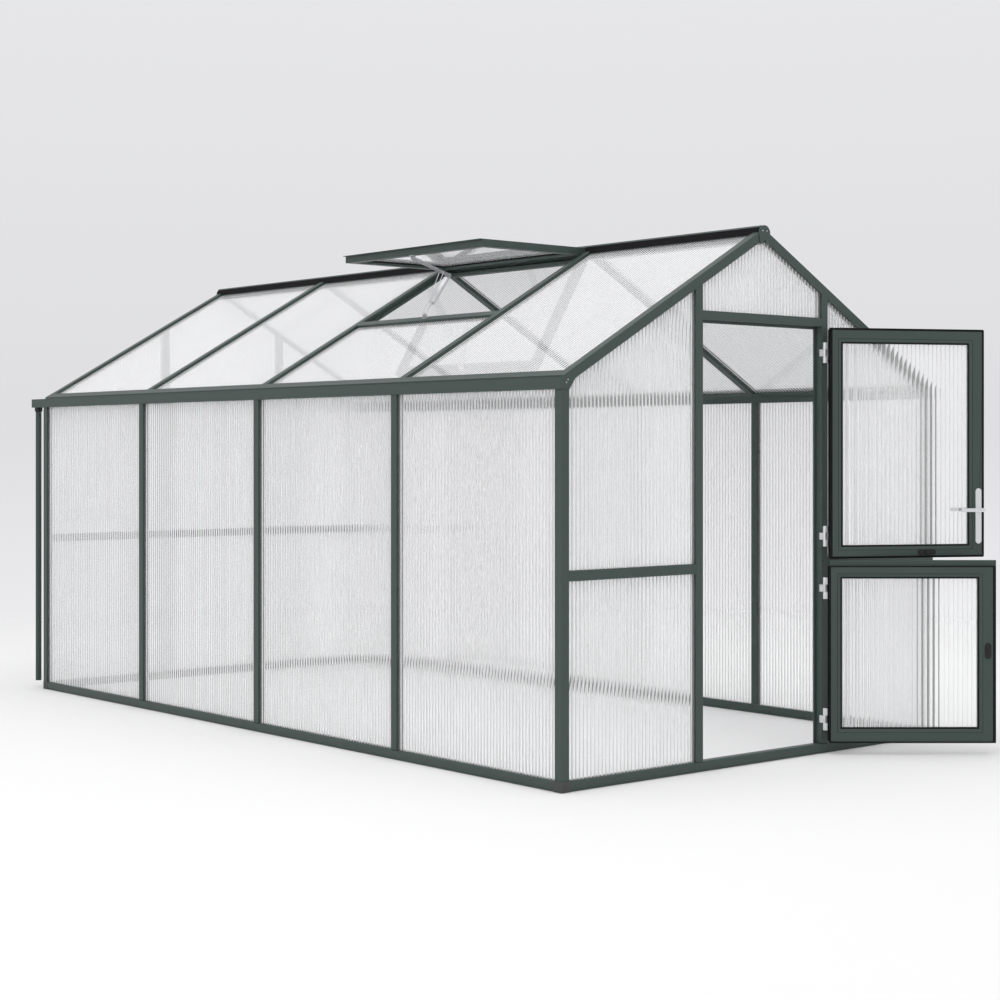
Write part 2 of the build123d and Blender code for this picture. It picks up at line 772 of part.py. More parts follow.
def spindle_bore():
    """The hole that the handle's spindle runs in, through the leaf and its plates."""
    return rod((LEVER_X, FRONT - FRAME, LEVER_Z), (LEVER_X, FRONT + 2 * FRAME, LEVER_Z), SPINDLE_HOLE)


def handle_plates():
    """The long plates on both faces of the upper leaf."""
    inner = FRONT + LEAF_DEPTH
    faces = ((FRONT - HANDLE_PLATE_THICK, FRONT), (inner, inner + HANDLE_PLATE_THICK))
    plates = [slot_plate(LEVER_X, HANDLE_PLATE_Z, HANDLE_PLATE, ys) for ys in faces]
    return [plate - spindle_bore() for plate in plates]


def lever_handle():
    """A lever on each face, joined by the spindle."""
    inner = FRONT + LEAF_DEPTH + HANDLE_PLATE_THICK
    outer = FRONT - HANDLE_PLATE_THICK
    piece = rod((LEVER_X, outer - LEVER_STAND, LEVER_Z), (LEVER_X, inner + LEVER_STAND, LEVER_Z), SPINDLE)
    xs = (LEVER_X - LEVER_TAIL, LEVER_X + LEVER_LENGTH)
    zs = (LEVER_Z - LEVER_HEIGHT / 2, LEVER_Z + LEVER_HEIGHT / 2)
    for base, way in ((inner, 1), (outer, -1)):
        tip = base + way * LEVER_STAND
        root = base + way * 1
        piece += rod((LEVER_X, root, LEVER_Z), (LEVER_X, tip, LEVER_Z), NECK)
        piece += block(xs, sorted((tip - way * LEVER_THICK, tip)), zs)
    return piece


def make_door():
    """Both leaves of the stable door with their fittings, swung to their open positions."""
    top = LOWER_LEAF[1]
    lower_body = (LOWER_LEAF[0] + FLANGE_TIP, top - LOWER_STRIP)
    lower = leaf_frame(LOWER_LEAF, lower_body, LOWER_PANE)
    strip_y = (FRONT, FRONT + LOWER_STRIP_DEPTH)
    lower += block((LEAF_FREE_EDGE, LEAF_HINGE_EDGE), strip_y, (top - LOWER_STRIP, top))
    upper_body = (UPPER_LEAF[0] + FLANGE_TIP, UPPER_LEAF[1] - FLANGE_TIP)
    upper = leaf_frame(UPPER_LEAF, upper_body, UPPER_PANE) - spindle_bore()
    lower_pieces = {
        "lower_leaf_frame": [lower],
        "lower_leaf_sheet": [leaf_sheet(LOWER_PANE)],
        "lower_leaf_hinges": [leaf_hinge(*span) for span in LOWER_HINGES],
        "lower_leaf_catch": [catch(*LOWER_CATCH)],
    }
    upper_pieces = {
        "upper_leaf_frame": [upper],
        "upper_leaf_sheet": [leaf_sheet(UPPER_PANE)],
        "upper_leaf_hinges": [leaf_hinge(*span) for span in UPPER_HINGES],
        "upper_leaf_catch": [catch(*UPPER_CATCH)],
        "handle_plates": handle_plates(),
        "lever_handle": [lever_handle()],
    }
    door = {"jamb_hinges": [jamb_hinge(*span) for span in LOWER_HINGES + UPPER_HINGES]}
    for pieces, angle in ((lower_pieces, LOWER_OPEN), (upper_pieces, UPPER_OPEN)):
        for node, solids in pieces.items():
            door[node] = [swing(solid, angle) for solid in solids]
    return door


def main():
    """Builds every piece and writes one file for each node."""
    makers = (
        make_sills,
        make_base_corners,
        make_corner_posts,
        make_side_posts,
        make_gable_frames,
        make_door_stops,
        make_eaves,
        make_end_plates,
        make_downpipes,
        make_ridge,
        make_rakes,
        make_rafters,
        make_wall_sheets,
        make_roof_sheets,
        make_gable_sheets,
        make_vent,
        make_opener,
        make_door,
    )
    os.makedirs("parts", exist_ok=True)
    for make in makers:
        for node, pieces in make().items():
            solids = [solid for piece in pieces for solid in piece.solids()]
            export_step(Compound(children=solids), f"parts/{node}.step")


main()
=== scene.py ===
"""Looks of a walk-in greenhouse: a powder-coated frame glazed with ribbed twin-wall sheets.

Meshes are made in millimetres, in the drawing's own axes, and written in metres.
"""

import json
import logging
import math
from dataclasses import dataclass, field
from enum import Enum

import bmesh
import bpy
from mathutils import Matrix, Vector


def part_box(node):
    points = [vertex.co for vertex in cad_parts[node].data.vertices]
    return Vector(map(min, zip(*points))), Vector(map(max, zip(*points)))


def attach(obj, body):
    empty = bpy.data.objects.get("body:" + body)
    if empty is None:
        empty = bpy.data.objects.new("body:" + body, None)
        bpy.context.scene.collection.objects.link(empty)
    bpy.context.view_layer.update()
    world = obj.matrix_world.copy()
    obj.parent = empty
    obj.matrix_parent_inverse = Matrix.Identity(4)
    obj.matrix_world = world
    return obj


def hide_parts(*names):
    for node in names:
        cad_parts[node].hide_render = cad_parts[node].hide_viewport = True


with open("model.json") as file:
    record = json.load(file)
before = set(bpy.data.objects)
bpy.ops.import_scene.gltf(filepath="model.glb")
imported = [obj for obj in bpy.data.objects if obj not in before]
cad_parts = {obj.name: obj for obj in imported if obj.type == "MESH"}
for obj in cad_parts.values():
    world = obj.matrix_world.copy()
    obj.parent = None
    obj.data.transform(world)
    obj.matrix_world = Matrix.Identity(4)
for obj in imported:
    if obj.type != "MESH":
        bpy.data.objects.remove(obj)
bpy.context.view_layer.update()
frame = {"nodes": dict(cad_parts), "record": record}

LOG = logging.getLogger("greenhouse")
MM = 0.001
PLAIN_CREASE = 35.0
SHEET_CREASE = 12.0
SHARP_EDGE = 0.6
SCREW_SIDES = 14
SCREW_TAPER = 0.82
SOCKET_RIM = 0.34
SOCKET_LIP = 0.06
SOCKET_DEPTH = 0.6
BAR_ROUND = 0.49
BAR_STEPS = 7
PATCH_SHARE = 0.5
GRAIN_SHARE = 0.225
GRAIN_BASE = 0.1375
SLACK = 1e-4

Point = tuple[float, float, float]
Span = tuple[float, float]
Colour = tuple[float, float, float]


class Slot(Enum):
    """The record's material slots."""

    PAINT = "frame_paint"
    SHEET = "ribbed_sheet"
    SHOE = "corner_plastic"
    BLACK = "black_fitting"
    BRIGHT = "bright_fitting"


class Body(Enum):
    """The bodies that pieces ride on."""

    HOUSE = "house"
    LOWER = "lower_leaf"
    UPPER = "upper_leaf"
    LEVER = "lever"


@dataclass(frozen=True)
class HousePlan:
    """The house's main sizes in millimetres, as its solids have them."""

    half: float = 1153.0
    bay: float = 1070.0
    bays: int = 4
    frame: float = 40.0
    front: float = -20.0
    rise: float = 0.567
    roof_at_wall: float = 1604.0
    sheet_out: float = 12.0
    sheet_in: float = 28.0
    seat: float = 10.0
    sill_top: float = 42.0
    midrail_low: float = 813.0
    midrail_top: float = 854.0
    eave_under: float = 1556.0
    eave_lip: float = 49.0
    door_post: float = 741.5
    header_top: float = 1895.0
    ridge_half: float = 28.0
    ridge_keel: float = 2210.0
    vent_bar: float = 652.0
    vent_margin: float = 15.0

    @property
    def back(self) -> float:
        """Where the back gable's outer face is."""
        return self.front + self.bay * self.bays

    @property
    def lines(self) -> list[float]:
        """The middle of each side post, along the house."""
        return [self.front + self.bay * i for i in range(1, self.bays)]

    @property
    def cos(self) -> float:
        """Cosine of the roof's slope."""
        return math.cos(math.atan(self.rise))

    @property
    def sin(self) -> float:
        """Sine of the roof's slope."""
        return math.sin(math.atan(self.rise))

    @property
    def rake_from(self) -> float:
        """How far up the slope the rakes and rafters start."""
        return self.eave_lip / self.cos

    @property
    def sheet_end(self) -> float:
        """How far up the slope the roof sheets reach into the ridge."""
        ridge_face = self.half - self.ridge_half
        return (ridge_face - self.sheet_out * self.sin) / self.cos + self.seat

    def inward(self, distance: float) -> float:
        """The X of a point that lies a distance inside the left wall's outer face."""
        return distance - self.half

    def roof_z(self, distance: float, depth: float) -> float:
        """Height of the plane that lies depth under the roof, a distance in from the wall."""
        return self.roof_at_wall + self.rise * distance - depth / self.cos

    def on_slope(self, run: float, depth: float) -> Span:
        """X and Z of a point run up the left slope and depth under the roof's plane."""
        x = self.inward(run * self.cos + depth * self.sin)
        return x, self.roof_at_wall + run * self.sin - depth * self.cos

    @property
    def slope_frame(self) -> Matrix:
        """The matrix from run, Y and height over the left slope to the house's axes."""
        turn = Matrix(((self.cos, 0.0, -self.sin), (0.0, 1.0, 0.0), (self.sin, 0.0, self.cos)))
        return Matrix.Translation((-self.half, 0.0, self.roof_at_wall)) @ turn.to_4x4()

    @property
    def vent_span(self) -> Span:
        """The vent's limits along the house."""
        start = self.lines[0]
        return start + self.vent_margin, start + self.bay - self.vent_margin

    def bay_spans(self) -> list[Span]:
        """The limits of the sheet in each bay, from groove bottom to groove bottom.

        Returns:
            One pair of limits along the house for each bay.
        """
        reach = self.frame / 2 - self.seat
        lows = [self.front + self.frame - self.seat] + [line + reach for line in self.lines]
        highs = [line - reach for line in self.lines] + [self.back - self.frame + self.seat]
        return list(zip(lows, highs))


PLAN = HousePlan()


class Bench:
    """A mesh in the making, in millimetres."""

    def __init__(self) -> None:
        """Starts with nothing on the bench."""
        self.mesh = bmesh.new()

    def box(self, low: Point, high: Point) -> list[bmesh.types.BMVert]:
        """A box between two corners.

        Args:
            low: The corner with the lowest coordinates.
            high: The corner with the highest ones.

        Returns:
            The box's vertices.
        """
        size = Vector(high) - Vector(low)
        middle = (Vector(high) + Vector(low)) / 2
        place = Matrix.Translation(middle) @ Matrix.Diagonal((*size, 1.0))
        return bmesh.ops.create_cube(self.mesh, size=1.0, matrix=place)["verts"]

    def rod(
        self, start: Point, end: Point, radius: float, tip: float | None = None, sides: int = 24
    ) -> list[bmesh.types.BMVert]:
        """A round bar, or a cone where its tip has another radius.

        Args:
            start: The middle of its first end.
            end: The middle of its second end.
            radius: The radius at the start.
            tip: The radius at the end, or nothing where it is the same.
            sides: How many faces go round it.

        Returns:
            The bar's vertices.
        """
        run = Vector(end) - Vector(start)
        turn = run.to_track_quat("Z", "Y").to_matrix().to_4x4()
        place = Matrix.Translation(Vector(start) + run / 2) @ turn
        made = bmesh.ops.create_cone(
            self.mesh,
            cap_ends=True,
            segments=sides,
            radius1=radius,
            radius2=radius if tip is None else tip,
            depth=run.length,
            matrix=place,
        )
        return made["verts"]

    def screw(self, at: Point, facing: Point, radius: float, height: float) -> None:
        """A round screw head with a socket.

        Args:
            at: The middle of the head's underside.
            facing: The way that the head faces.
            radius: The head's radius.
            height: How far it stands out.
        """
        way = Vector(facing).normalized()
        crown = tuple(Vector(at) + way * height)
        verts = self.rod(at, crown, radius, radius * SCREW_TAPER, SCREW_SIDES)
        top = max(
            {face for vert in verts for face in vert.link_faces},
            key=lambda face: face.calc_center_median().dot(way),
        )
        for share in (SOCKET_RIM, SOCKET_LIP):
            bmesh.ops.inset_region(self.mesh, faces=[top], thickness=radius * share)
        sunk = way * (-SOCKET_DEPTH * height)
        bmesh.ops.translate(self.mesh, verts=list(top.verts), vec=sunk)

    def ring(self, x: Span, z: Span, y: Span, width: float) -> list[bmesh.types.BMVert]:
        """A flat rectangular ring that stands in X and Z.

        Args:
            x: Its outer limits across.
            z: Its outer limits up.
            y: The limits of its thickness.
            width: How wide its band is.

        Returns:
            The ring's vertices.
        """
        known = set(self.mesh.verts)
        middle = Vector(((x[0] + x[1]) / 2, y[0], (z[0] + z[1]) / 2))
        upright = Matrix.Rotation(math.pi / 2, 4, "X")
        scale = Matrix.Diagonal(((x[1] - x[0]) / 2, (z[1] - z[0]) / 2, 1.0, 1.0))
        place = Matrix.Translation(middle) @ upright @ scale
        made = bmesh.ops.create_grid(
            self.mesh, x_segments=1, y_segments=1, size=1.0, matrix=place
        )
        inner = next(iter(made["verts"][0].link_faces))
        rim = bmesh.ops.inset_region(
            self.mesh, faces=[inner], thickness=width, use_boundary=True
        )["faces"]
        bmesh.ops.delete(self.mesh, geom=[inner], context="FACES_ONLY")
        return self.draw_out(known, rim, (0.0, y[1] - y[0], 0.0))

    def bar(self, start: Point, end: Point, height: float, thick: float) -> None:
        """A flat bar with round ends, on edge, whose faces look along Y.

        Args:
            start: The middle of its first round end.
            end: The middle of its second one.
            height: The width of its faces.
            thick: Its thickness along Y.
        """
        run = Vector(end) - Vector(start)
        known = set(self.mesh.verts)
        size = Matrix.Diagonal((run.length + height, thick, height, 1.0))
        verts = bmesh.ops.create_cube(self.mesh, size=1.0, matrix=size)["verts"]
        edges = {edge for vert in verts for edge in vert.link_edges}
        corners = [
            edge for edge in edges if abs(edge.verts[0].co.y - edge.verts[1].co.y) > thick / 2
        ]
        self.round_off(corners, height * BAR_ROUND, BAR_STEPS)
        fresh = [vert for vert in self.mesh.verts if vert not in known]
        turn = Matrix.Rotation(math.atan2(-run.z, run.x), 4, "Y")
        self.turn(fresh, Matrix.Translation(Vector(start) + run / 2) @ turn)

    def prism(self, outline: list[Point], run: Point) -> list[bmesh.types.BMVert]:
        """A straight length of one section.

        Args:
            outline: The section's corners in order.
            run: The length and way that the section is drawn out.

        Returns:
            The prism's vertices.
        """
        known = set(self.mesh.verts)
        section = self.mesh.faces.new([self.mesh.verts.new(corner) for corner in outline])
        return self.draw_out(known, [section], run, keep=True)

    def draw_out(
        self,
        known: set[bmesh.types.BMVert],
        faces: list[bmesh.types.BMFace],
        way: Point,
        keep: bool = False,
    ) -> list[bmesh.types.BMVert]:
        """Extrudes faces into a closed shape, with its faces outwards.

        Args:
            known: The vertices of the shapes made before.
            faces: The faces to extrude.
            way: How far and which way they go.
            keep: Whether the first faces stay, to close the shape.

        Returns:
            The new shape's vertices.
        """
        pushed = bmesh.ops.extrude_face_region(self.mesh, geom=faces, use_keep_orig=keep)
        moved = [item for item in pushed["geom"] if isinstance(item, bmesh.types.BMVert)]
        bmesh.ops.translate(self.mesh, verts=moved, vec=way)
        fresh = [vert for vert in self.mesh.verts if vert not in known]
        shape = list({face for vert in fresh for face in vert.link_faces})
        bmesh.ops.recalc_face_normals(self.mesh, faces=shape)
        return fresh

    def soften(self, verts: list[bmesh.types.BMVert], width: float, steps: int = 2) -> None:
        """Rounds every edge between the given vertices.

        Args:
            verts: The vertices of one closed shape.
            width: How much of each side the rounding takes.
            steps: How many faces make up the round.
        """
        edges = list({edge for vert in verts for edge in vert.link_edges})
        sharp = [edge for edge in edges if edge.calc_face_angle(0.0) > SHARP_EDGE]
        self.round_off(sharp, width, steps)

    def round_off(self, edges: list[bmesh.types.BMEdge], width: float, steps: int) -> None:
        """Rounds the given edges.

        Args:
            edges: The edges.
            width: How much of each side the rounding takes.
            steps: How many faces make up the round.
        """
        bmesh.ops.bevel(
            self.mesh,
            geom=edges,
            offset=width,
            segments=steps,
            profile=0.5,
            affect="EDGES",
            material=-1,
            clamp_overlap=True,
        )

    def turn(self, verts: list[bmesh.types.BMVert], matrix: Matrix) -> None:
        """Moves vertices by a matrix."""
        bmesh.ops.transform(self.mesh, matrix=matrix, verts=verts)

    def absorb(self, other: "Bench") -> None:
        """Takes over another bench's mesh with its map.

        Args:
            other: The bench that is emptied into this one.
        """
        for marks in other.mesh.loops.layers.uv.keys():
            if self.mesh.loops.layers.uv.get(marks) is None:
                self.mesh.loops.layers.uv.new(marks)
        carrier = bpy.data.meshes.new("carrier")
        other.mesh.to_mesh(carrier)
        other.mesh.free()
        self.mesh.from_mesh(carrier)
        bpy.data.meshes.remove(carrier)


@dataclass(frozen=True)
class Piece:
    """A finished piece's name, body, slot and finish, and the solids that it stands for.

    Edges flatter than round_to degrees are shaded smooth. A piece that doesn't shade lets
    lamp light through.
    """

    name: str
    body: Body
    slot: Slot
    finish: bpy.types.Material
    stands_for: tuple[str, ...] = ()
    round_to: float = PLAIN_CREASE
    shades: bool = True

    def make(self, bench: Bench, place: Matrix | None = None) -> bpy.types.Object:
        """Writes a bench's mesh as an object that rides on its body.

        Args:
            bench: The finished mesh in millimetres.
            place: Where the whole mesh is moved to first, if anywhere.

        Returns:
            The new object.
        """
        if place is not None:
            bench.turn(list(bench.mesh.verts), place)
        bmesh.ops.scale(bench.mesh, vec=(MM, MM, MM), verts=list(bench.mesh.verts))
        data = bpy.data.meshes.new(self.name)
        bench.mesh.to_mesh(data)
        bench.mesh.free()
        data.materials.append(self.finish)
        data.polygons.foreach_set("use_smooth", [True] * len(data.polygons))
        data.set_sharp_from_angle(angle=math.radians(self.round_to))
        made = bpy.data.objects.new(self.name, data)
        bpy.context.scene.collection.objects.link(made)
        made.visible_shadow = self.shades
        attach(made, self.body.value)
        if self.stands_for:
            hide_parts(*self.stands_for)
        LOG.info("%s: %d faces on %s", self.name, len(data.polygons), self.body.value)
        return made


class Wiring:
    """Adds nodes to one tree and joins them."""

    def __init__(self, tree: bpy.types.NodeTree) -> None:
        """Takes the tree that the nodes go into."""
        self.tree = tree

    def add(self, kind: str, **inputs: object) -> bpy.types.Node:
        """Adds a node and sets or joins its inputs.

        Args:
            kind: The node's type name, without its ShaderNode part.
            inputs: Socket names, with _ for a space, and a value or a socket for each.

        Returns:
            The node.
        """
        node = self.tree.nodes.new("ShaderNode" + kind)
        for name, value in inputs.items():
            self.feed(node, name.replace("_", " "), value)
        return node

    def feed(self, node: bpy.types.Node, name: str, value: object) -> None:
        """Sets or joins one input, by its name."""
        self.put(node.inputs[name], value)

    def put(self, socket: bpy.types.NodeSocket, value: object) -> None:
        """Sets a socket, or joins it where the value is a socket itself.

        Args:
            socket: The input socket.
            value: Its value, or an output socket.
        """
        if isinstance(value, bpy.types.NodeSocket):
            self.tree.links.new(value, socket)
        else:
            socket.default_value = value

    def sum(
        self, kind: str, first: object, second: object, third: object = 0.0
    ) -> bpy.types.NodeSocket:
        """A Math node's result.

        Args:
            kind: The node's operation.
            first: Its first value or socket.
            second: Its second one.
            third: Its third one, where the operation has one.

        Returns:
            The output socket.
        """
        node = self.tree.nodes.new("ShaderNodeMath")
        node.operation = kind
        for socket, value in zip(node.inputs, (first, second, third)):
            self.put(socket, value)
        return node.outputs[0]

    def mix(self, share: object, first: object, second: object) -> bpy.types.NodeSocket:
        """A mix of two colours by a share from 0 to 1.

        Args:
            share: How much of the second colour shows, or a socket that says so.
            first: The first colour or socket.
            second: The second one.

        Returns:
            The output socket.
        """
        node = self.tree.nodes.new("ShaderNodeMix")
        node.data_type = "RGBA"
        sockets = (node.inputs[0], node.inputs[6], node.inputs[7])
        for socket, value in zip(sockets, (share, first, second)):
            self.put(socket, value)
        return node.outputs[2]


def grain_group() -> bpy.types.NodeTree:
    """Builds the fine grain that every finish has, with its own colour, sizes and strength.

    Returns:
        A node group with Color, Roughness and Normal outputs.
    """
    tree = bpy.data.node_groups.new("fine_grain", "ShaderNodeTree")
    face = tree.interface
    face.new_socket("Dark", in_out="INPUT", socket_type="NodeSocketColor")
    face.new_socket("Light", in_out="INPUT", socket_type="NodeSocketColor")
    for name in ("Patch Scale", "Grain Scale", "Rough Low", "Rough High", "Bump", "Distance"):
        face.new_socket(name, in_out="INPUT", socket_type="NodeSocketFloat")
    face.new_socket("Color", in_out="OUTPUT", socket_type="NodeSocketColor")
    face.new_socket("Roughness", in_out="OUTPUT", socket_type="NodeSocketFloat")
    face.new_socket("Normal", in_out="OUTPUT", socket_type="NodeSocketVector")
    wiring = Wiring(tree)
    given = tree.nodes.new("NodeGroupInput")
    place = tree.nodes.new("ShaderNodeTexCoord").outputs["Object"]
    patch = wiring.add("TexNoise", Vector=place, Scale=given.outputs["Patch Scale"], Detail=3.0)
    grain = wiring.add("TexNoise", Vector=place, Scale=given.outputs["Grain Scale"], Detail=2.0)
    fine = wiring.sum("MULTIPLY_ADD", grain.outputs["Fac"], GRAIN_SHARE, GRAIN_BASE)
    share = wiring.sum("MULTIPLY_ADD", patch.outputs["Fac"], PATCH_SHARE, fine)
    rough = wiring.add("MapRange", Value=share)
    wiring.feed(rough, "To Min", given.outputs["Rough Low"])
    wiring.feed(rough, "To Max", given.outputs["Rough High"])
    bump = wiring.add("Bump", Height=grain.outputs["Fac"])
    wiring.feed(bump, "Strength", given.outputs["Bump"])
    wiring.feed(bump, "Distance", given.outputs["Distance"])
    result = tree.nodes.new("NodeGroupOutput")
    colour = wiring.mix(share, given.outputs["Dark"], given.outputs["Light"])
    tree.links.new(colour, result.inputs["Color"])
    tree.links.new(rough.outputs["Result"], result.inputs["Roughness"])
    tree.links.new(bump.outputs["Normal"], result.inputs["Normal"])
    return tree


GRAIN = grain_group()


def empty_material(name: str) -> tuple[bpy.types.Material, Wiring, bpy.types.Node]:
    """Starts a material with a single Principled node.

    Args:
        name: The material's name.

    Returns:
        The material, its wiring and the Principled node.
    """
    material = bpy.data.materials.new(name)
    material.use_nodes = True
    tree = material.node_tree
    tree.nodes.clear()
    shader = tree.nodes.new("ShaderNodeBsdfPrincipled")
    output = tree.nodes.new("ShaderNodeOutputMaterial")
    tree.links.new(shader.outputs[0], output.inputs["Surface"])
    return material, Wiring(tree), shader


@dataclass(frozen=True)
class GrainedFinish:
    """A coated, moulded or bare metal finish with a fine grain."""

    name: str
    colour: Colour
    spread: float
    rough: Span
    metal: float = 0.0
    patch_scale: float = 2.5
    grain_scale: float = 900.0
    bump: float = 0.15
    distance: float = 0.0002
    gloss: float = 0.5

    def shade(self, share: float) -> tuple[float, float, float, float]:
        """The colour made lighter or darker by a share."""
        return (*(channel * share for channel in self.colour), 1.0)

    def build(self) -> bpy.types.Material:
        """Makes the material.

        Returns:
            The material, with the shared grain in it.
        """
        material, wiring, shader = empty_material(self.name)
        grain = material.node_tree.nodes.new("ShaderNodeGroup")
        grain.node_tree = GRAIN
        settings = {
            "Dark": self.shade(1.0 - self.spread),
            "Light": self.shade(1.0 + self.spread),
            "Patch Scale": self.patch_scale,
            "Grain Scale": self.grain_scale,
            "Rough Low": self.rough[0],
            "Rough High": self.rough[1],
            "Bump": self.bump,
            "Distance": self.distance,
        }
        for name, value in settings.items():
            grain.inputs[name].default_value = value
        wiring.feed(shader, "Base Color", grain.outputs["Color"])
        wiring.feed(shader, "Roughness", grain.outputs["Roughness"])
        wiring.feed(shader, "Normal", grain.outputs["Normal"])
        shader.inputs["Metallic"].default_value = self.metal
        shader.inputs["Specular IOR Level"].default_value = self.gloss
        return material


@dataclass(frozen=True)
class SheetFinish:
    """Clear twin-wall plastic with faint streaks along its ribs.

    The streaks' noise is stretched over the sheets' map: cells across, metres along.
    """

    name: str = "ribbed_polycarbonate"
    colour: Colour = (0.995, 0.995, 0.998)
    streak: Colour = (0.975, 0.976, 0.982)
    rough: Span = (0.0, 0.03)
    clear: float = 0.86
    ior: float = 1.25
    stretch: Point = (0.9, 0.12, 1.0)

    def build(self) -> bpy.types.Material:
        """Makes the clear material.

        Returns:
            The material, which reads the sheets' own map.
        """
        material, wiring, shader = empty_material(self.name)
        along = wiring.add("UVMap")
        along.uv_map = "ribs"
        stretch = wiring.add("Mapping", Vector=along.outputs["UV"], Scale=self.stretch)
        drawn = wiring.add("TexNoise", Vector=stretch.outputs["Vector"], Scale=1.0, Detail=0.0)
        shade = wiring.mix(drawn.outputs["Fac"], (*self.streak, 1.0), (*self.colour, 1.0))
        rough = wiring.add("MapRange", Value=drawn.outputs["Fac"])
        rough.inputs["To Min"].default_value = self.rough[0]
        rough.inputs["To Max"].default_value = self.rough[1]
        wiring.feed(shader, "Roughness", rough.outputs["Result"])
        wiring.feed(shader, "Base Color", shade)
        shader.inputs["Transmission Weight"].default_value = self.clear
        shader.inputs["IOR"].default_value = self.ior
        return material


@dataclass(frozen=True)
class Finishes:
    """Every finish, built once."""

    paint: bpy.types.Material
    sheet: bpy.types.Material
    rib: bpy.types.Material
    shoe: bpy.types.Material
    black: bpy.types.Material
    rubber: bpy.types.Material
    bright: bpy.types.Material
    steel: bpy.types.Material

    @classmethod
    def build(cls) -> "Finishes":
        """Makes all the materials.

        Returns:
            The set of finishes.
        """
        return cls(
            paint=GrainedFinish(
                "green_powder_coat", (0.042, 0.063, 0.055), spread=0.12, rough=(0.36, 0.5),
                gloss=0.36,
            ).build(),
            sheet=SheetFinish().build(),
            rib=GrainedFinish(
                "milky_rib", (0.95, 0.952, 0.96), spread=0.02, rough=(0.25, 0.35),
                grain_scale=300.0, bump=0.02,
            ).build(),
            shoe=GrainedFinish(
                "dark_corner_moulding", (0.045, 0.05, 0.048), spread=0.14, rough=(0.5, 0.66),
                grain_scale=600.0, bump=0.25,
            ).build(),
            black=GrainedFinish(
                "black_moulding", (0.014, 0.014, 0.015), spread=0.2, rough=(0.38, 0.52),
                grain_scale=600.0, gloss=0.3,
            ).build(),
            rubber=GrainedFinish(
                "black_rubber", (0.008, 0.008, 0.009), spread=0.25, rough=(0.62, 0.8),
                grain_scale=400.0, bump=0.3, gloss=0.15,
            ).build(),
            bright=GrainedFinish(
                "pale_satin_metal", (0.72, 0.73, 0.74), spread=0.05, rough=(0.26, 0.4),
                metal=0.85, grain_scale=700.0, bump=0.08,
            ).build(),
            steel=GrainedFinish(
                "zinc_screw", (0.62, 0.63, 0.65), spread=0.08, rough=(0.22, 0.34),
                metal=1.0, grain_scale=1500.0, bump=0.06,
            ).build(),
        )


@dataclass(frozen=True)
class Cut:
    """A plane that trims a sheet, in the sheet's own X (across the ribs) and Y (along them)."""

    at: Span
    facing: Span


@dataclass(frozen=True)
class Panel:
    """One twin-wall sheet, in millimetres."""

    corner: Point
    across: Point
    along: Point
    width: float
    length: float
    cuts: tuple[Cut, ...] = ()

    def place(self) -> Matrix:
        """The matrix from the sheet's own axes to the house's.

        Returns:
            The matrix.
        """
        across, along = Vector(self.across), Vector(self.along)
        out = across.cross(along)
        turn = Matrix((across, along, out)).transposed().to_4x4()
        return Matrix.Translation(Vector(self.corner)) @ turn


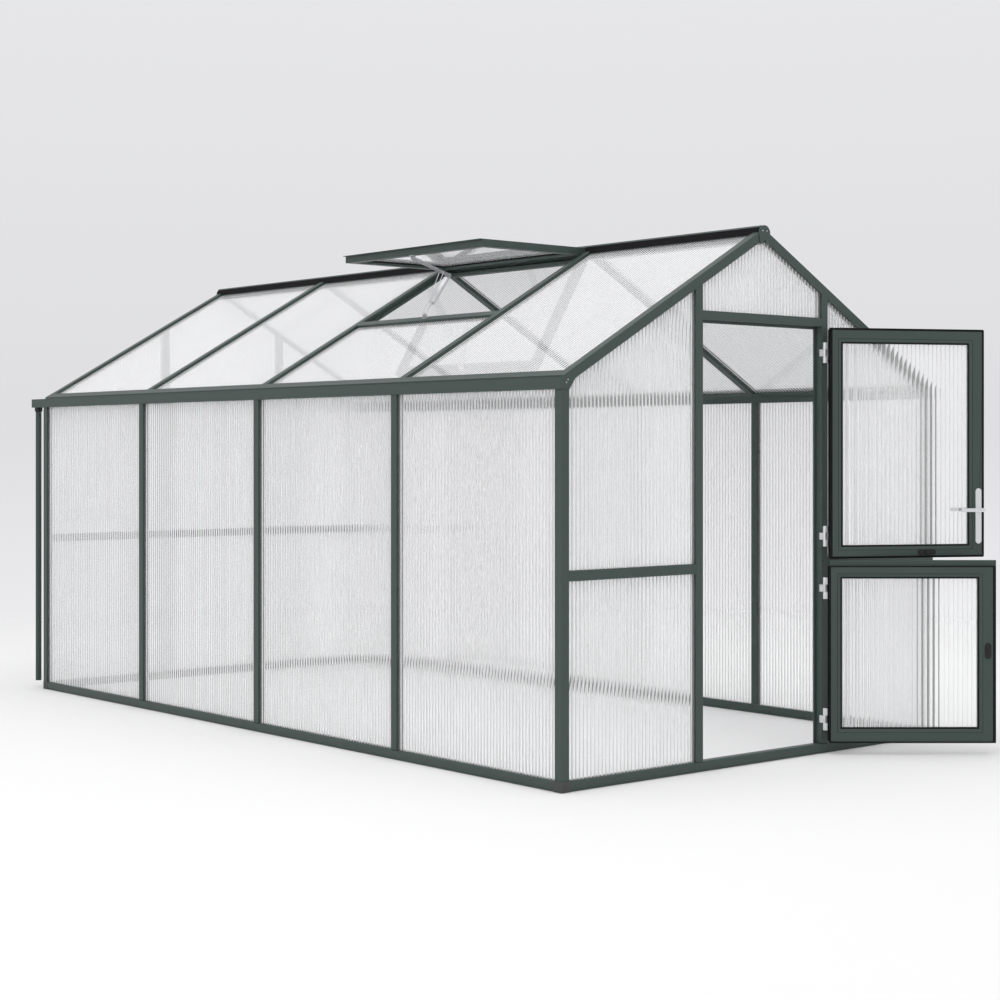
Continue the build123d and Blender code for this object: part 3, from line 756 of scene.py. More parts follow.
@dataclass(frozen=True)
class TwinWall:
    """How a ribbed sheet is shaped, in millimetres.

    Both skins swell a little from each rib to the next, by steps faces a cell. The ribs stop
    rib_inset short of the sheet's faces and rib_end short of its ends.
    """

    thick: float = 16.0
    pitch: float = 20.0
    swell: float = 1.0
    power: float = 2.2
    steps: int = 8
    rib: float = 0.8
    rib_inset: float = 3.2
    rib_end: float = 0.5

    def cells(self, panel: Panel) -> int:
        """How many cells a sheet has across."""
        return max(1, round(panel.width / self.pitch))

    def stiffen(self, bench: Bench, panel: Panel) -> None:
        """Adds the ribs between one sheet's two skins to a bench.

        Args:
            bench: The bench of the ribs' piece.
            panel: The sheet's place, sizes and cuts.
        """
        ribs = Bench()
        half = self.rib / 2
        for line in range(1, self.cells(panel)):
            x = panel.width * line / self.cells(panel)
            low = (x - half, self.rib_end, self.rib_inset)
            high = (x + half, panel.length - self.rib_end, self.thick - self.rib_inset)
            ribs.box(low, high)
        self.trim(ribs.mesh, panel)
        ribs.turn(list(ribs.mesh.verts), panel.place())
        bench.absorb(ribs)

    def lay(self, bench: Bench, panel: Panel) -> None:
        """Adds one sheet to a bench, as a closed slab with swollen cells.

        Args:
            bench: The bench of the piece that the sheet belongs to.
            panel: The sheet's place, sizes and cuts.
        """
        slab = Bench()
        cells = self.cells(panel)
        half = Matrix.Diagonal((panel.width / 2, panel.length / 2, 1.0, 1.0))
        middle = Matrix.Translation((panel.width / 2, panel.length / 2, 0.0))
        bmesh.ops.create_grid(
            slab.mesh, x_segments=cells * self.steps, y_segments=1, size=1.0, matrix=middle @ half
        )
        pushed = bmesh.ops.extrude_face_region(slab.mesh, geom=list(slab.mesh.faces))["geom"]
        back = {item for item in pushed if isinstance(item, bmesh.types.BMVert)}
        for vert in slab.mesh.verts:
            across = vert.co.x / panel.width * cells
            share = across - math.floor(across + SLACK)
            rise = self.swell * (1.0 - abs(2.0 * share - 1.0) ** self.power)
            outer = self.thick - self.swell + rise
            vert.co.z = outer if vert in back else self.thick - outer
        self.trim(slab.mesh, panel)
        self.mark(slab.mesh, panel.width / cells)
        slab.turn(list(slab.mesh.verts), panel.place())
        bench.absorb(slab)

    @staticmethod
    def mark(mesh: bmesh.types.BMesh, cell: float) -> None:
        """Gives a flat sheet a map: cells across its ribs, and metres along them.

        Args:
            mesh: The sheet, in its own axes.
            cell: The width of a cell in millimetres.
        """
        marks = mesh.loops.layers.uv.new("ribs")
        for face in mesh.faces:
            for loop in face.loops:
                loop[marks].uv = (loop.vert.co.x / cell, loop.vert.co.y * MM)

    @staticmethod
    def trim(mesh: bmesh.types.BMesh, panel: Panel) -> None:
        """Cuts a flat sheet by its planes and closes the cut faces.

        Args:
            mesh: The sheet, in its own axes.
            panel: The sheet with its cuts.
        """
        for cut in panel.cuts:
            facing = Vector((*cut.facing, 0.0)).normalized()
            bmesh.ops.bisect_plane(
                mesh,
                geom=list(mesh.verts) + list(mesh.edges) + list(mesh.faces),
                dist=SLACK,
                plane_co=Vector((*cut.at, 0.0)),
                plane_no=facing,
                clear_outer=True,
            )
            open_edges = [edge for edge in mesh.edges if edge.is_boundary]
            bmesh.ops.holes_fill(mesh, edges=open_edges, sides=0)
        bmesh.ops.recalc_face_normals(mesh, faces=list(mesh.faces))


@dataclass(frozen=True)
class Glazing:
    """All the fixed sheets and the vent's, which is thinner and lies on a gasket."""

    finish: bpy.types.Material
    rib: bpy.types.Material
    rubber: bpy.types.Material
    heel_slope: float = 1.1
    gasket_lip: float = 5.0
    gasket_gap: float = 0.3
    wall: TwinWall = field(default_factory=TwinWall)
    roof: TwinWall = field(
        default_factory=lambda: TwinWall(swell=0.0, steps=1, rib=0.6, rib_inset=4.2)
    )
    vent: TwinWall = field(
        default_factory=lambda: TwinWall(thick=8.0, swell=0.0, steps=1, rib=0.4, rib_inset=2.5)
    )

    def build(self) -> None:
        """Makes one piece for each group of sheets."""
        for side in (-1, 1):
            name = "left" if side < 0 else "right"
            self.make(f"wall_glazing_{name}", (f"wall_sheets_{name}",), self.wall_panels(side))
            slope = self.roof_panels(side)
            self.make(f"roof_glazing_{name}", (f"roof_sheets_{name}",), slope, self.roof)
        front = self.side_panels(PLAN.front + PLAN.sheet_in)
        self.make("front_glazing", ("front_sheets",), front)
        top = self.top_panel(PLAN.front + PLAN.sheet_in, PLAN.header_top - PLAN.seat)
        self.make("front_top_glazing", ("front_top_sheet",), [top])
        back_y = PLAN.back - PLAN.sheet_out
        back = self.side_panels(back_y)
        back.append(self.top_panel(back_y, PLAN.midrail_top - PLAN.seat))
        back.append(self.centre_panel(back_y))
        self.make("back_glazing", ("back_sheets",), back)
        self.make("vent_glazing", ("vent_sheet",), [self.vent_panel()], self.vent)
        self.vent_gasket()

    def make(
        self, name: str, nodes: tuple[str, ...], panels: list[Panel], shape: TwinWall | None = None
    ) -> None:
        """Builds a group of sheets as one piece, and their ribs as another.

        Args:
            name: The sheets' name.
            nodes: The solids that they stand for.
            panels: The places, sizes and cuts of the sheets.
            shape: How they are shaped, or nothing for the walls' shape.
        """
        sheets, ribs = Bench(), Bench()
        shape = shape or self.wall
        for panel in panels:
            shape.lay(sheets, panel)
            shape.stiffen(ribs, panel)
        shades = name == "roof_glazing_right"
        glass = Piece(
            name, Body.HOUSE, Slot.SHEET, self.finish, nodes, SHEET_CREASE, shades
        )
        glass.make(sheets)
        Piece(f"{name}_ribs", Body.HOUSE, Slot.SHEET, self.rib, shades=False).make(ribs)

    def wall_panels(self, side: int) -> list[Panel]:
        """The upright sheets of one side wall.

        Args:
            side: -1 for the left and 1 for the right.

        Returns:
            One sheet a bay.
        """
        x = PLAN.inward(PLAN.sheet_out) if side < 0 else -PLAN.inward(PLAN.sheet_in)
        low = PLAN.sill_top - PLAN.seat
        height = PLAN.eave_under + PLAN.seat - low
        return [
            Panel((x, start, low), (0, 1, 0), (0, 0, 1), end - start, height)
            for start, end in PLAN.bay_spans()
        ]

    def roof_panels(self, side: int) -> list[Panel]:
        """The sheets of one slope. The left one has a short sheet under the vent.

        Args:
            side: -1 for the left and 1 for the right.

        Returns:
            One sheet a bay.
        """
        start_run = PLAN.rake_from - PLAN.seat
        x, z = PLAN.on_slope(start_run, PLAN.sheet_out)
        panels = []
        for bay, (start, end) in enumerate(PLAN.bay_spans()):
            short = side < 0 and bay == 1
            end_run = PLAN.vent_bar + PLAN.seat if short else PLAN.sheet_end
            if side < 0:
                corner, across = (x, start, z), (0, 1, 0)
            else:
                corner, across = (-x, end, z), (0, -1, 0)
            along = (-side * PLAN.cos, 0, PLAN.sin)
            panels.append(Panel(corner, across, along, end - start, end_run - start_run))
        return panels

    def side_panels(self, y: float) -> list[Panel]:
        """The lower and upper sheets on both sides of a gable's middle section.

        Args:
            y: Where the sheets' outer faces lie along the house.

        Returns:
            Two sheets a side, the upper ones cut to the roof.
        """
        near, far = PLAN.frame - PLAN.seat, PLAN.door_post + PLAN.seat
        low = PLAN.sill_top - PLAN.seat
        lower = PLAN.midrail_low + PLAN.seat - low
        base = PLAN.midrail_top - PLAN.seat
        depth = PLAN.frame - PLAN.seat
        top = PLAN.roof_z(far, depth)
        width = far - near
        panels = []
        for side in (-1, 1):
            x = PLAN.inward(near) if side < 0 else -PLAN.inward(far)
            panels.append(Panel((x, y, low), (1, 0, 0), (0, 0, 1), width, lower))
            edge = 0.0 if side < 0 else width
            slope = Cut((edge, PLAN.roof_z(near, depth) - base), (side * PLAN.rise, 1.0))
            heel = Cut((edge, PLAN.eave_under + PLAN.seat - base), (side * self.heel_slope, 1.0))
            panels.append(
                Panel((x, y, base), (1, 0, 0), (0, 0, 1), width, top - base, (slope, heel))
            )
        return panels

    def top_panel(self, y: float, low: float) -> Panel:
        """The pointed sheet between the gable posts.

        Args:
            y: Where the sheets' outer faces lie along the house.
            low: The height of its lower edge.

        Returns:
            The sheet with its two cuts.
        """
        near = PLAN.door_post + PLAN.frame - PLAN.seat
        depth = PLAN.frame - PLAN.seat
        shoulder = PLAN.roof_z(near, depth) - low
        width = -2 * PLAN.inward(near)
        cuts = (Cut((0.0, shoulder), (-PLAN.rise, 1.0)), Cut((width, shoulder), (PLAN.rise, 1.0)))
        corner = (PLAN.inward(near), y, low)
        return Panel(corner, (1, 0, 0), (0, 0, 1), width, PLAN.ridge_keel - low, cuts)

    def centre_panel(self, y: float) -> Panel:
        """The lower sheet in the middle of the back gable.

        Args:
            y: Where the sheets' outer faces lie along the house.

        Returns:
            The sheet.
        """
        near = PLAN.inward(PLAN.door_post + PLAN.frame - PLAN.seat)
        low = PLAN.sill_top - PLAN.seat
        height = PLAN.midrail_low + PLAN.seat - low
        return Panel((near, y, low), (1, 0, 0), (0, 0, 1), -2 * near, height)

    def vent_panel(self) -> Panel:
        """The vent's sheet, with its ribs towards the ridge.

        Returns:
            The sheet, thinned from below.
        """
        low, high = (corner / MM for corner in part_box("vent_sheet"))
        corner = (low.x, low.y, high.z)
        return Panel(corner, (0, 1, 0), (1, 0, 0), high.y - low.y, high.x - low.x)

    def vent_gasket(self) -> None:
        """The black gasket that carries the vent's sheet, in the lower part of its groove."""
        low, high = (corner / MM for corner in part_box("vent_sheet"))
        bench = Bench()
        depth = (low.z + self.gasket_gap, high.z - self.vent.thick)
        width = PLAN.seat + self.gasket_lip
        verts = bench.ring((low.x, high.x), (-high.y, -low.y), depth, width)
        bench.turn(verts, Matrix.Rotation(math.pi / 2, 4, "X"))
        Piece("vent_gasket", Body.HOUSE, Slot.BLACK, self.rubber).make(bench)


LOWER_HINGES: tuple[Span, ...] = ((102.0, 197.0), (673.0, 766.0))
UPPER_HINGES: tuple[Span, ...] = ((901.0, 990.0), (1699.0, 1788.0))


@dataclass(frozen=True)
class RubberSizes:
    """The widths of a leaf's gaskets, trims and bulbs, of the hinge-edge strip of seal and painted
    shade, and of the ring of painted shade round the bead, in millimetres.
    """

    gasket_wide: float = 9.5
    gasket_deep: float = 2.4
    gasket_round: float = 0.8
    # Groove shade: a thin black ring that is painted shade in the groove round the bead.
    groove_shade_wide: float = 1.8
    groove_shade_out: float = 1.0
    groove_shade_deep: Span = (-0.5, 0.2)
    trim_free: float = 8.0
    trim_low: float = 3.0
    trim_plain: float = 3.5
    trim_skin: float = 0.9
    trim_edge: float = 1.44
    trim_gap: float = 0.3
    # Seal-and-shade strip on the hinge edge: partly a real seal, partly painted shade.
    seal_shade_flap_out: float = 6.5
    seal_shade_flap_from: float = -20.0
    seal_shade_flap_round: float = 1.0
    bulb_out: float = 10.5
    bulb_gap: float = 1.0
    bulb_end: float = 0.5
    bulb_round: float = 2.0
    bulb_room: float = 20.0


@dataclass(frozen=True)
class StrapScrews:
    """The screws in the hinge straps: how far from the pin, and their heads."""

    reaches: Span = (24.0, 40.0)
    face: float = -24.0
    radius: float = 4.2
    height: float = 1.8


@dataclass(frozen=True)
class Leaf:
    """One half of the stable door, drawn closed, with its sheet, gaskets, seals and screws.

    Its height is that of the whole leaf and frame_z that of its inner body; pane is the
    visible part of the sheet, from bottom to top. Y grows towards the house's inside.
    """

    name: str
    body: Body
    opened: float
    height: Span
    frame_z: Span
    pane: Span
    hinges: tuple[Span, ...]
    hinge_at: Span = (378.0, -30.0)
    hinge_edge: float = 360.0
    free_edge: float = -353.5
    hinge_stile: float = 46.0
    free_stile: float = 67.0
    inner: float = 8.0
    lap: Span = (-17.0, -10.5)
    bead: float = 14.0
    sheet_y: Span = (-14.0, 2.0)
    rubber: RubberSizes = RubberSizes()
    strap_screws: StrapScrews = StrapScrews()

    @property
    def swing(self) -> Matrix:
        """The turn from the closed door to the open one.

        Returns:
            The matrix, about the hinge line.
        """
        axis = Vector((*self.hinge_at, 0.0))
        turn = Matrix.Rotation(math.radians(self.opened), 4, "Z")
        return Matrix.Translation(axis) @ turn @ Matrix.Translation(-axis)

    @property
    def pane_x(self) -> Span:
        """The limits of the visible pane across the leaf."""
        return self.free_edge + self.free_stile, self.hinge_edge - self.hinge_stile

    def build(self, finishes: Finishes) -> None:
        """Makes the leaf's own pieces.

        Args:
            finishes: The materials.
        """
        self.glaze(finishes)
        self.gasket(finishes.rubber)
        self.seal(finishes.rubber)
        self.screws(finishes.steel)

    def piece(self, part: str, slot: Slot, finish: bpy.types.Material, *nodes: str) -> Piece:
        """A piece of this leaf.

        Args:
            part: The end of its name.
            slot: Its material slot.
            finish: Its material.
            nodes: The solids that it stands for.

        Returns:
            The piece, still to be made.
        """
        glass = slot is Slot.SHEET
        angle = SHEET_CREASE if glass else PLAIN_CREASE
        return Piece(f"{self.name}_{part}", self.body, slot, finish, nodes, angle, not glass)

    def glaze(self, finishes: Finishes) -> None:
        """The leaf's ribbed sheet.

        Args:
            finishes: The materials.
        """
        sheet, ribs = Bench(), Bench()
        seat = PLAN.seat
        x_low, x_high = self.pane_x[0] - seat, self.pane_x[1] + seat
        low, high = self.pane[0] - seat, self.pane[1] + seat
        corner = (x_low, self.sheet_y[1], low)
        panel = Panel(corner, (1, 0, 0), (0, 0, 1), x_high - x_low, high - low)
        TwinWall().lay(sheet, panel)
        TwinWall().stiffen(ribs, panel)
        glazing = self.piece("glazing", Slot.SHEET, finishes.sheet, f"{self.name}_sheet")
        glazing.make(sheet, self.swing)
        self.piece("glazing_ribs", Slot.SHEET, finishes.rib).make(ribs, self.swing)

    def gasket(self, finish: bpy.types.Material) -> None:
        """The black gasket that holds the sheet on both faces, and a black ring of painted shade
        round the bead.

        Args:
            finish: The rubber.
        """
        bench = Bench()
        sizes = self.rubber
        out_y, in_y = self.sheet_y
        for y_span in ((in_y, in_y + sizes.gasket_deep), (out_y - sizes.gasket_deep, out_y)):
            verts = bench.ring(self.pane_x, self.pane, y_span, sizes.gasket_wide)
            bench.soften(verts, sizes.gasket_round)
        # The thin black ring just outside the bead is painted shade: it stands for the shadow in
        # the groove where the bead meets the frame.
        reach = self.bead + sizes.groove_shade_out
        x_span = (self.pane_x[0] - reach, self.pane_x[1] + reach)
        z_span = (self.pane[0] - reach, self.pane[1] + reach)
        deep = tuple(self.inner + offset for offset in sizes.groove_shade_deep)
        bench.ring(x_span, z_span, deep, sizes.groove_shade_wide)
        self.piece("gasket", Slot.BLACK, finish).make(bench, self.swing)

    def seal(self, finish: bpy.types.Material) -> None:
        """The black seals: an edge trim round the leaf, a strip along the hinge edge that is
        partly seal and partly painted shade, and bulbs in the lap behind it.

        Args:
            finish: The rubber.
        """
        bench = Bench()
        sizes = self.rubber
        low, high = self.frame_z
        free, hinge = self.free_edge, self.hinge_edge
        self.trim(bench, (free, low), (-1, 0), (0, high - low), sizes.trim_free)
        self.trim(bench, (hinge, low), (1, 0), (0, high - low), sizes.trim_plain)
        self.trim(bench, (free, low), (0, -1), (hinge - free, 0), sizes.trim_low)
        self.trim(bench, (free, high), (0, 1), (hinge - free, 0), sizes.trim_plain)
        lap_low, lap_high = self.lap
        # The strip along the hinge edge is a real seal and also painted shade: its black fills the
        # gap by the post, where the shadowed rebate reads dark.
        seal_shade_flap_edge = hinge + sizes.seal_shade_flap_out
        seal_shade_flap = bench.box((hinge, sizes.seal_shade_flap_from, low), (seal_shade_flap_edge, lap_low, high))
        bench.soften(seal_shade_flap, sizes.seal_shade_flap_round)
        outer = free - sizes.bulb_out
        bottom = self.height[0] + sizes.bulb_end
        top = self.height[1] - sizes.bulb_end
        bulbs = [
            ((outer, lap_low, low), (free - sizes.bulb_gap, lap_high, high)),
            ((outer, lap_low, bottom), (hinge, lap_high, low - sizes.bulb_gap)),
        ]
        if self.height[1] - high < sizes.bulb_room:
            start = (outer, lap_low, high + sizes.bulb_gap)
            bulbs.append((start, (hinge, lap_high, top)))
        for corner, other in bulbs:
            bench.soften(bench.box(corner, other), sizes.bulb_round)
        self.piece("seal", Slot.BLACK, finish).make(bench, self.swing)

    def trim(self, bench: Bench, at: Span, out: Span, run: Span, wide: float) -> None:
        """A thin angle of rubber over one edge of the leaf's inner face.

        Args:
            bench: The seal's bench.
            at: X and Z of the edge's start.
            out: The way out of the leaf, in X and Z.
            run: The edge's length, in X and Z.
            wide: How far the angle reaches over the face.
        """
        face, edge = self.inner, self.rubber.trim_edge
        cover = face + self.rubber.trim_skin
        back = self.lap[0] + self.rubber.trim_gap
        section = (
            (edge, back), (edge, cover), (-wide, cover), (-wide, face), (0.0, face), (0.0, back),
        )
        outline = [(at[0] + out[0] * far, y, at[1] + out[1] * far) for far, y in section]
        bench.prism(outline, (run[0], 0.0, run[1]))

    def screws(self, finish: bpy.types.Material) -> None:
        """The screws in the hinge straps.

        Args:
            finish: The screws' metal.
        """
        bench = Bench()
        sizes = self.strap_screws
        for low, high in self.hinges:
            third = (high - low) / 3
            for middle in (low + third / 2, high - third / 2):
                for reach in sizes.reaches:
                    at = (self.hinge_at[0] - reach, sizes.face, middle)
                    bench.screw(at, (0, -1, 0), sizes.radius, sizes.height)
        self.piece("hinge_screws", Slot.BRIGHT, finish).make(bench, self.swing)


@dataclass(frozen=True)
class FrameDressing:
    """Finishes and rounded edges for the solids that stay as they are."""

    finishes: Finishes
    paint_edge: float = 1.2
    thin_edge: float = 0.5
    weld_gap: float = 0.01
    sharp_from: float = 40.0

    def build(self) -> None:
        """Dresses every node that nothing stands for."""
        looks = {
            Slot.PAINT.value: self.finishes.paint,
            Slot.SHEET.value: self.finishes.sheet,
            Slot.SHOE.value: self.finishes.shoe,
            Slot.BLACK.value: self.finishes.black,
            Slot.BRIGHT.value: self.finishes.bright,
        }
        for part in frame["record"]["subparts"]:
            node = frame["nodes"][part["node"]]
            if node.hide_render:
                continue
            for holder in node.material_slots:
                holder.material = looks[part["material_slot"]]
            thin = part["material_slot"] == Slot.BRIGHT.value or "plates" in part["node"]
            self.round_edges(node, self.thin_edge if thin else self.paint_edge)
            LOG.info("%s: %s", node.name, part["material_slot"])

    def round_edges(self, node: bpy.types.Object, width: float) -> None:
        """Rounds a solid's sharp edges by modifiers.

        Args:
            node: The solid's object.
            width: The width of the rounding in millimetres.
        """
        weld = node.modifiers.new("weld", "WELD")
        weld.merge_threshold = self.weld_gap * MM
        bevel = node.modifiers.new("edges", "BEVEL")
        bevel.width = width * MM
        bevel.segments = 2
        bevel.limit_method = "ANGLE"
        bevel.angle_limit = math.radians(self.sharp_from)
        bevel.use_clamp_overlap = True
        bevel.harden_normals = False


@dataclass(frozen=True)
class Fasteners:
    """Small bright screws on the house's plates, caps and hinges, and a black plug."""

    finish: bpy.types.Material
    plate_out: float = 2.5
    cap_out: float = 4.0
    plate_spots: tuple[Span, ...] = ((30.5, 1592.5), (22.5, 1581.5))
    plate_head: Span = (3.6, 2.0)
    cap_spot: Span = (13.0, 2247.0)
    cap_head: Span = (3.8, 2.0)
    wing_thick: float = 2.5
    wing_y: float = -14.0
    wing_offset: float = 8.0
    wing_head: Span = (3.4, 1.2)
    plug_spot: Span = (377.0, 838.0)
    plug_head: Span = (4.0, 1.2)
    plug_round: float = 0.5

    def build(self) -> None:
        """Makes the screws of both gables and the jambs."""
        self.gable_screws()
        self.jamb_screws()

    def gable_screws(self) -> None:
        """Two screws in each gusset plate and two in each ridge cap."""
        bench = Bench()
        for gable, way in ((PLAN.front, -1), (PLAN.back, 1)):
            plate_y, cap_y = gable + way * self.plate_out, gable + way * self.cap_out
            for side in (-1, 1):
                for distance, z in self.plate_spots:
                    at = (side * (PLAN.half - distance), plate_y, z)
                    bench.screw(at, (0, way, 0), *self.plate_head)
                at = (side * self.cap_spot[0], cap_y, self.cap_spot[1])
                bench.screw(at, (0, way, 0), *self.cap_head)
        Piece("gable_screws", Body.HOUSE, Slot.BRIGHT, self.finish).make(bench)

    def jamb_screws(self) -> None:
        """Two screws in each hinge wing on the doorway's side."""
        bench = Bench()
        jamb = PLAN.half - PLAN.door_post - PLAN.frame - self.wing_thick
        for low, high in LOWER_HINGES + UPPER_HINGES:
            middle = (low + high) / 2
            for offset in (-self.wing_offset, self.wing_offset):
                bench.screw((jamb, self.wing_y, middle + offset), (-1, 0, 0), *self.wing_head)
        Piece("jamb_screws", Body.HOUSE, Slot.BRIGHT, self.finish).make(bench)

    def jamb_plug(self, finish: bpy.types.Material) -> None:
        """The small black plug in the hinge post, between the two leaves.

        Args:
            finish: The plug's plastic.
        """
        bench = Bench()
        (x, z), (radius, height) = self.plug_spot, self.plug_head
        verts = bench.rod((x, PLAN.front + 1.0, z), (x, PLAN.front - height, z), radius)
        bench.soften(verts, self.plug_round)
        Piece("jamb_plug", Body.HOUSE, Slot.BLACK, finish).make(bench)


@dataclass(frozen=True)
class RidgeTrim:
    """Black rubber strips on the ridge's sides, over the roof sheets' upper ends."""

    finish: bpy.types.Material
    thick: float = 1.6
    strip_z: Span = (2232.0, 2262.0)
    end_gap: float = 1.0
    vent_gap: float = 3.0
    bevel: float = 1.0
    top_lip: float = 0.4

    def build(self) -> None:
        """Makes one strip a side, left out where the vent is hung."""
        bench = Bench()
        low, high = self.strip_z
        near, far = PLAN.front + self.end_gap, PLAN.back - self.end_gap
        vent_near = PLAN.vent_span[0] - self.vent_gap
        vent_far = PLAN.vent_span[1] + self.vent_gap
        runs = ((-1, near, vent_near), (-1, vent_far, far), (1, near, far))
        for side, start, end in runs:
            inner, outer = side * PLAN.ridge_half, side * (PLAN.ridge_half + self.thick)
            outline = [
                (inner, start, low), (outer, start, low + self.bevel),
                (outer, start, high - self.bevel), (inner, start, high + self.top_lip),
            ]
            bench.prism(outline, (0.0, end - start, 0.0))
        Piece("ridge_strips", Body.HOUSE, Slot.BLACK, self.finish).make(bench)


@dataclass(frozen=True)
class Opener:
    """The vent's wax-piston opener: foot, cylinder, elbow and two arms up to the free rail.

    Foot, elbow and head are its pins, each as a distance inward and a height. A length of the
    cylinder is its start and end as shares of the line from foot to elbow, and its radius.
    """

    bright: bpy.types.Material
    steel: bpy.types.Material
    y: float = 1585.0
    foot: Span = (585.0, 1952.0)
    elbow: Span = (730.0, 2146.0)
    head: Span = (517.0, 2213.0)
    rail: float = 2226.0
    reach: float = 13.0
    lengths: tuple[Point, ...] = (
        (0.3, 0.335, 15.0), (0.335, 0.86, 14.0), (0.86, 0.91, 15.0), (0.58, 0.6, 14.8),
    )
    case_round: float = 1.2
    case_sides: int = 32
    piston_end: float = 0.32
    piston: float = 3.6
    spring_rod: float = 1.9
    spring_sides: int = 12
    spring_aside: float = 17.0
    spring_end: float = 0.2
    cheek_end: float = 0.14
    pin: float = 3.4
    rivet: Span = (5.2, 1.6)
    rivet_sunk: float = 0.6
    arm: Point = (11.0, 10.0, 2.5)
    cheek: Point = (8.0, 17.0, 2.0)
    hanger: Point = (8.0, 14.0, 2.5)
    heel: Point = (6.0, 13.0, 2.5)
    hanger_gap: float = 4.0
    heel_at: Span = (3.0, -9.0)
    plate: Point = (11.0, 14.0, 2.5)
    plate_round: float = 0.8
    plate_screw: Point = (6.5, 3.2, 1.4)
    base: Point = (24.0, 14.0, 2.6)
    base_gap: Span = (1.0, 0.2)

    def point(self, at: Span, aside: float = 0.0) -> Point:
        """A point from its distance inward and its height, moved aside along the house."""
        return PLAN.inward(at[0]), self.y + aside, at[1]

    def between(self, first: Span, second: Span, share: float) -> Span:
        """A point on the line between two others."""
        return tuple(a + (b - a) * share for a, b in zip(first, second))

    def build(self) -> None:
        """Makes the opener's two pieces."""
        self.body()
        self.links()

    def body(self) -> None:
        """The cylinder with its caps, the piston rod and the closing spring's two rods."""
        bench = Bench()
        line = self.foot, self.elbow
        for start, end, radius in self.lengths:
            ends = [self.point(self.between(*line, share)) for share in (start, end)]
            bench.soften(bench.rod(*ends, radius, sides=self.case_sides), self.case_round)
        top = self.point(self.between(*line, self.piston_end))
        bench.rod(self.point(self.foot), top, self.piston)
        spring_top = self.between(self.elbow, self.head, self.spring_end)
        for side in (-self.spring_aside, self.spring_aside):
            ends = self.point(self.foot, side / 2), self.point(spring_top, side)
            bench.rod(*ends, self.spring_rod, sides=self.spring_sides)
        cylinder = Piece(
            "opener_cylinder", Body.HOUSE, Slot.BRIGHT, self.bright, ("vent_opener",)
        )
        cylinder.make(bench)

    def links(self) -> None:
        """The arms, clevises, brackets, pins and screws."""
        bench = Bench()
        cheek_foot = self.between(self.elbow, self.foot, self.cheek_end)
        hanger_top = (self.head[0], self.rail - self.hanger_gap)
        heel_foot = (self.foot[0] + self.heel_at[0], self.foot[1] + self.heel_at[1])
        bars = (
            (self.elbow, self.head, self.arm), (self.elbow, cheek_foot, self.cheek),
            (self.head, hanger_top, self.hanger), (self.foot, heel_foot, self.heel),
        )
        for side in (-1, 1):
            for start, end, (aside, height, thick) in bars:
                ends = self.point(start, side * aside), self.point(end, side * aside)
                bench.bar(*ends, height, thick)
        for at in (self.foot, self.elbow, self.head):
            bench.rod(self.point(at, -self.reach), self.point(at, self.reach), self.pin)
            for side in (-1, 1):
                head = self.point(at, side * (self.reach - self.rivet_sunk))
                bench.screw(head, (0, side, 0), *self.rivet)
        self.head_plate(bench)
        self.foot_plate(bench)
        Piece("opener_links", Body.HOUSE, Slot.BRIGHT, self.steel).make(bench)

    def head_plate(self, bench: Bench) -> None:
        """The plate under the vent's free rail, with two screws.

        Args:
            bench: The bench that it goes on.
        """
        x, y, _ = self.point(self.head)
        wide, long, thick = self.plate
        low = self.rail - thick
        verts = bench.box((x - wide, y - long, low), (x + wide, y + long, self.rail))
        bench.soften(verts, self.plate_round)
        offset, radius, height = self.plate_screw
        for side in (-1, 1):
            bench.screw((x + side * offset, y, low), (0, 0, -1), radius, height)

    def foot_plate(self, bench: Bench) -> None:
        """The plate on the roof's crossbar.

        Args:
            bench: The bench that it goes on.
        """
        base = Bench()
        run = PLAN.vent_bar + PLAN.frame
        (far, long, top), (near, sunk) = self.base, self.base_gap
        verts = base.box((run - far, self.y - long, -sunk), (run - near, self.y + long, top))
        base.soften(verts, self.plate_round)
        base.turn(list(base.mesh.verts), PLAN.slope_frame)
        bench.absorb(base)


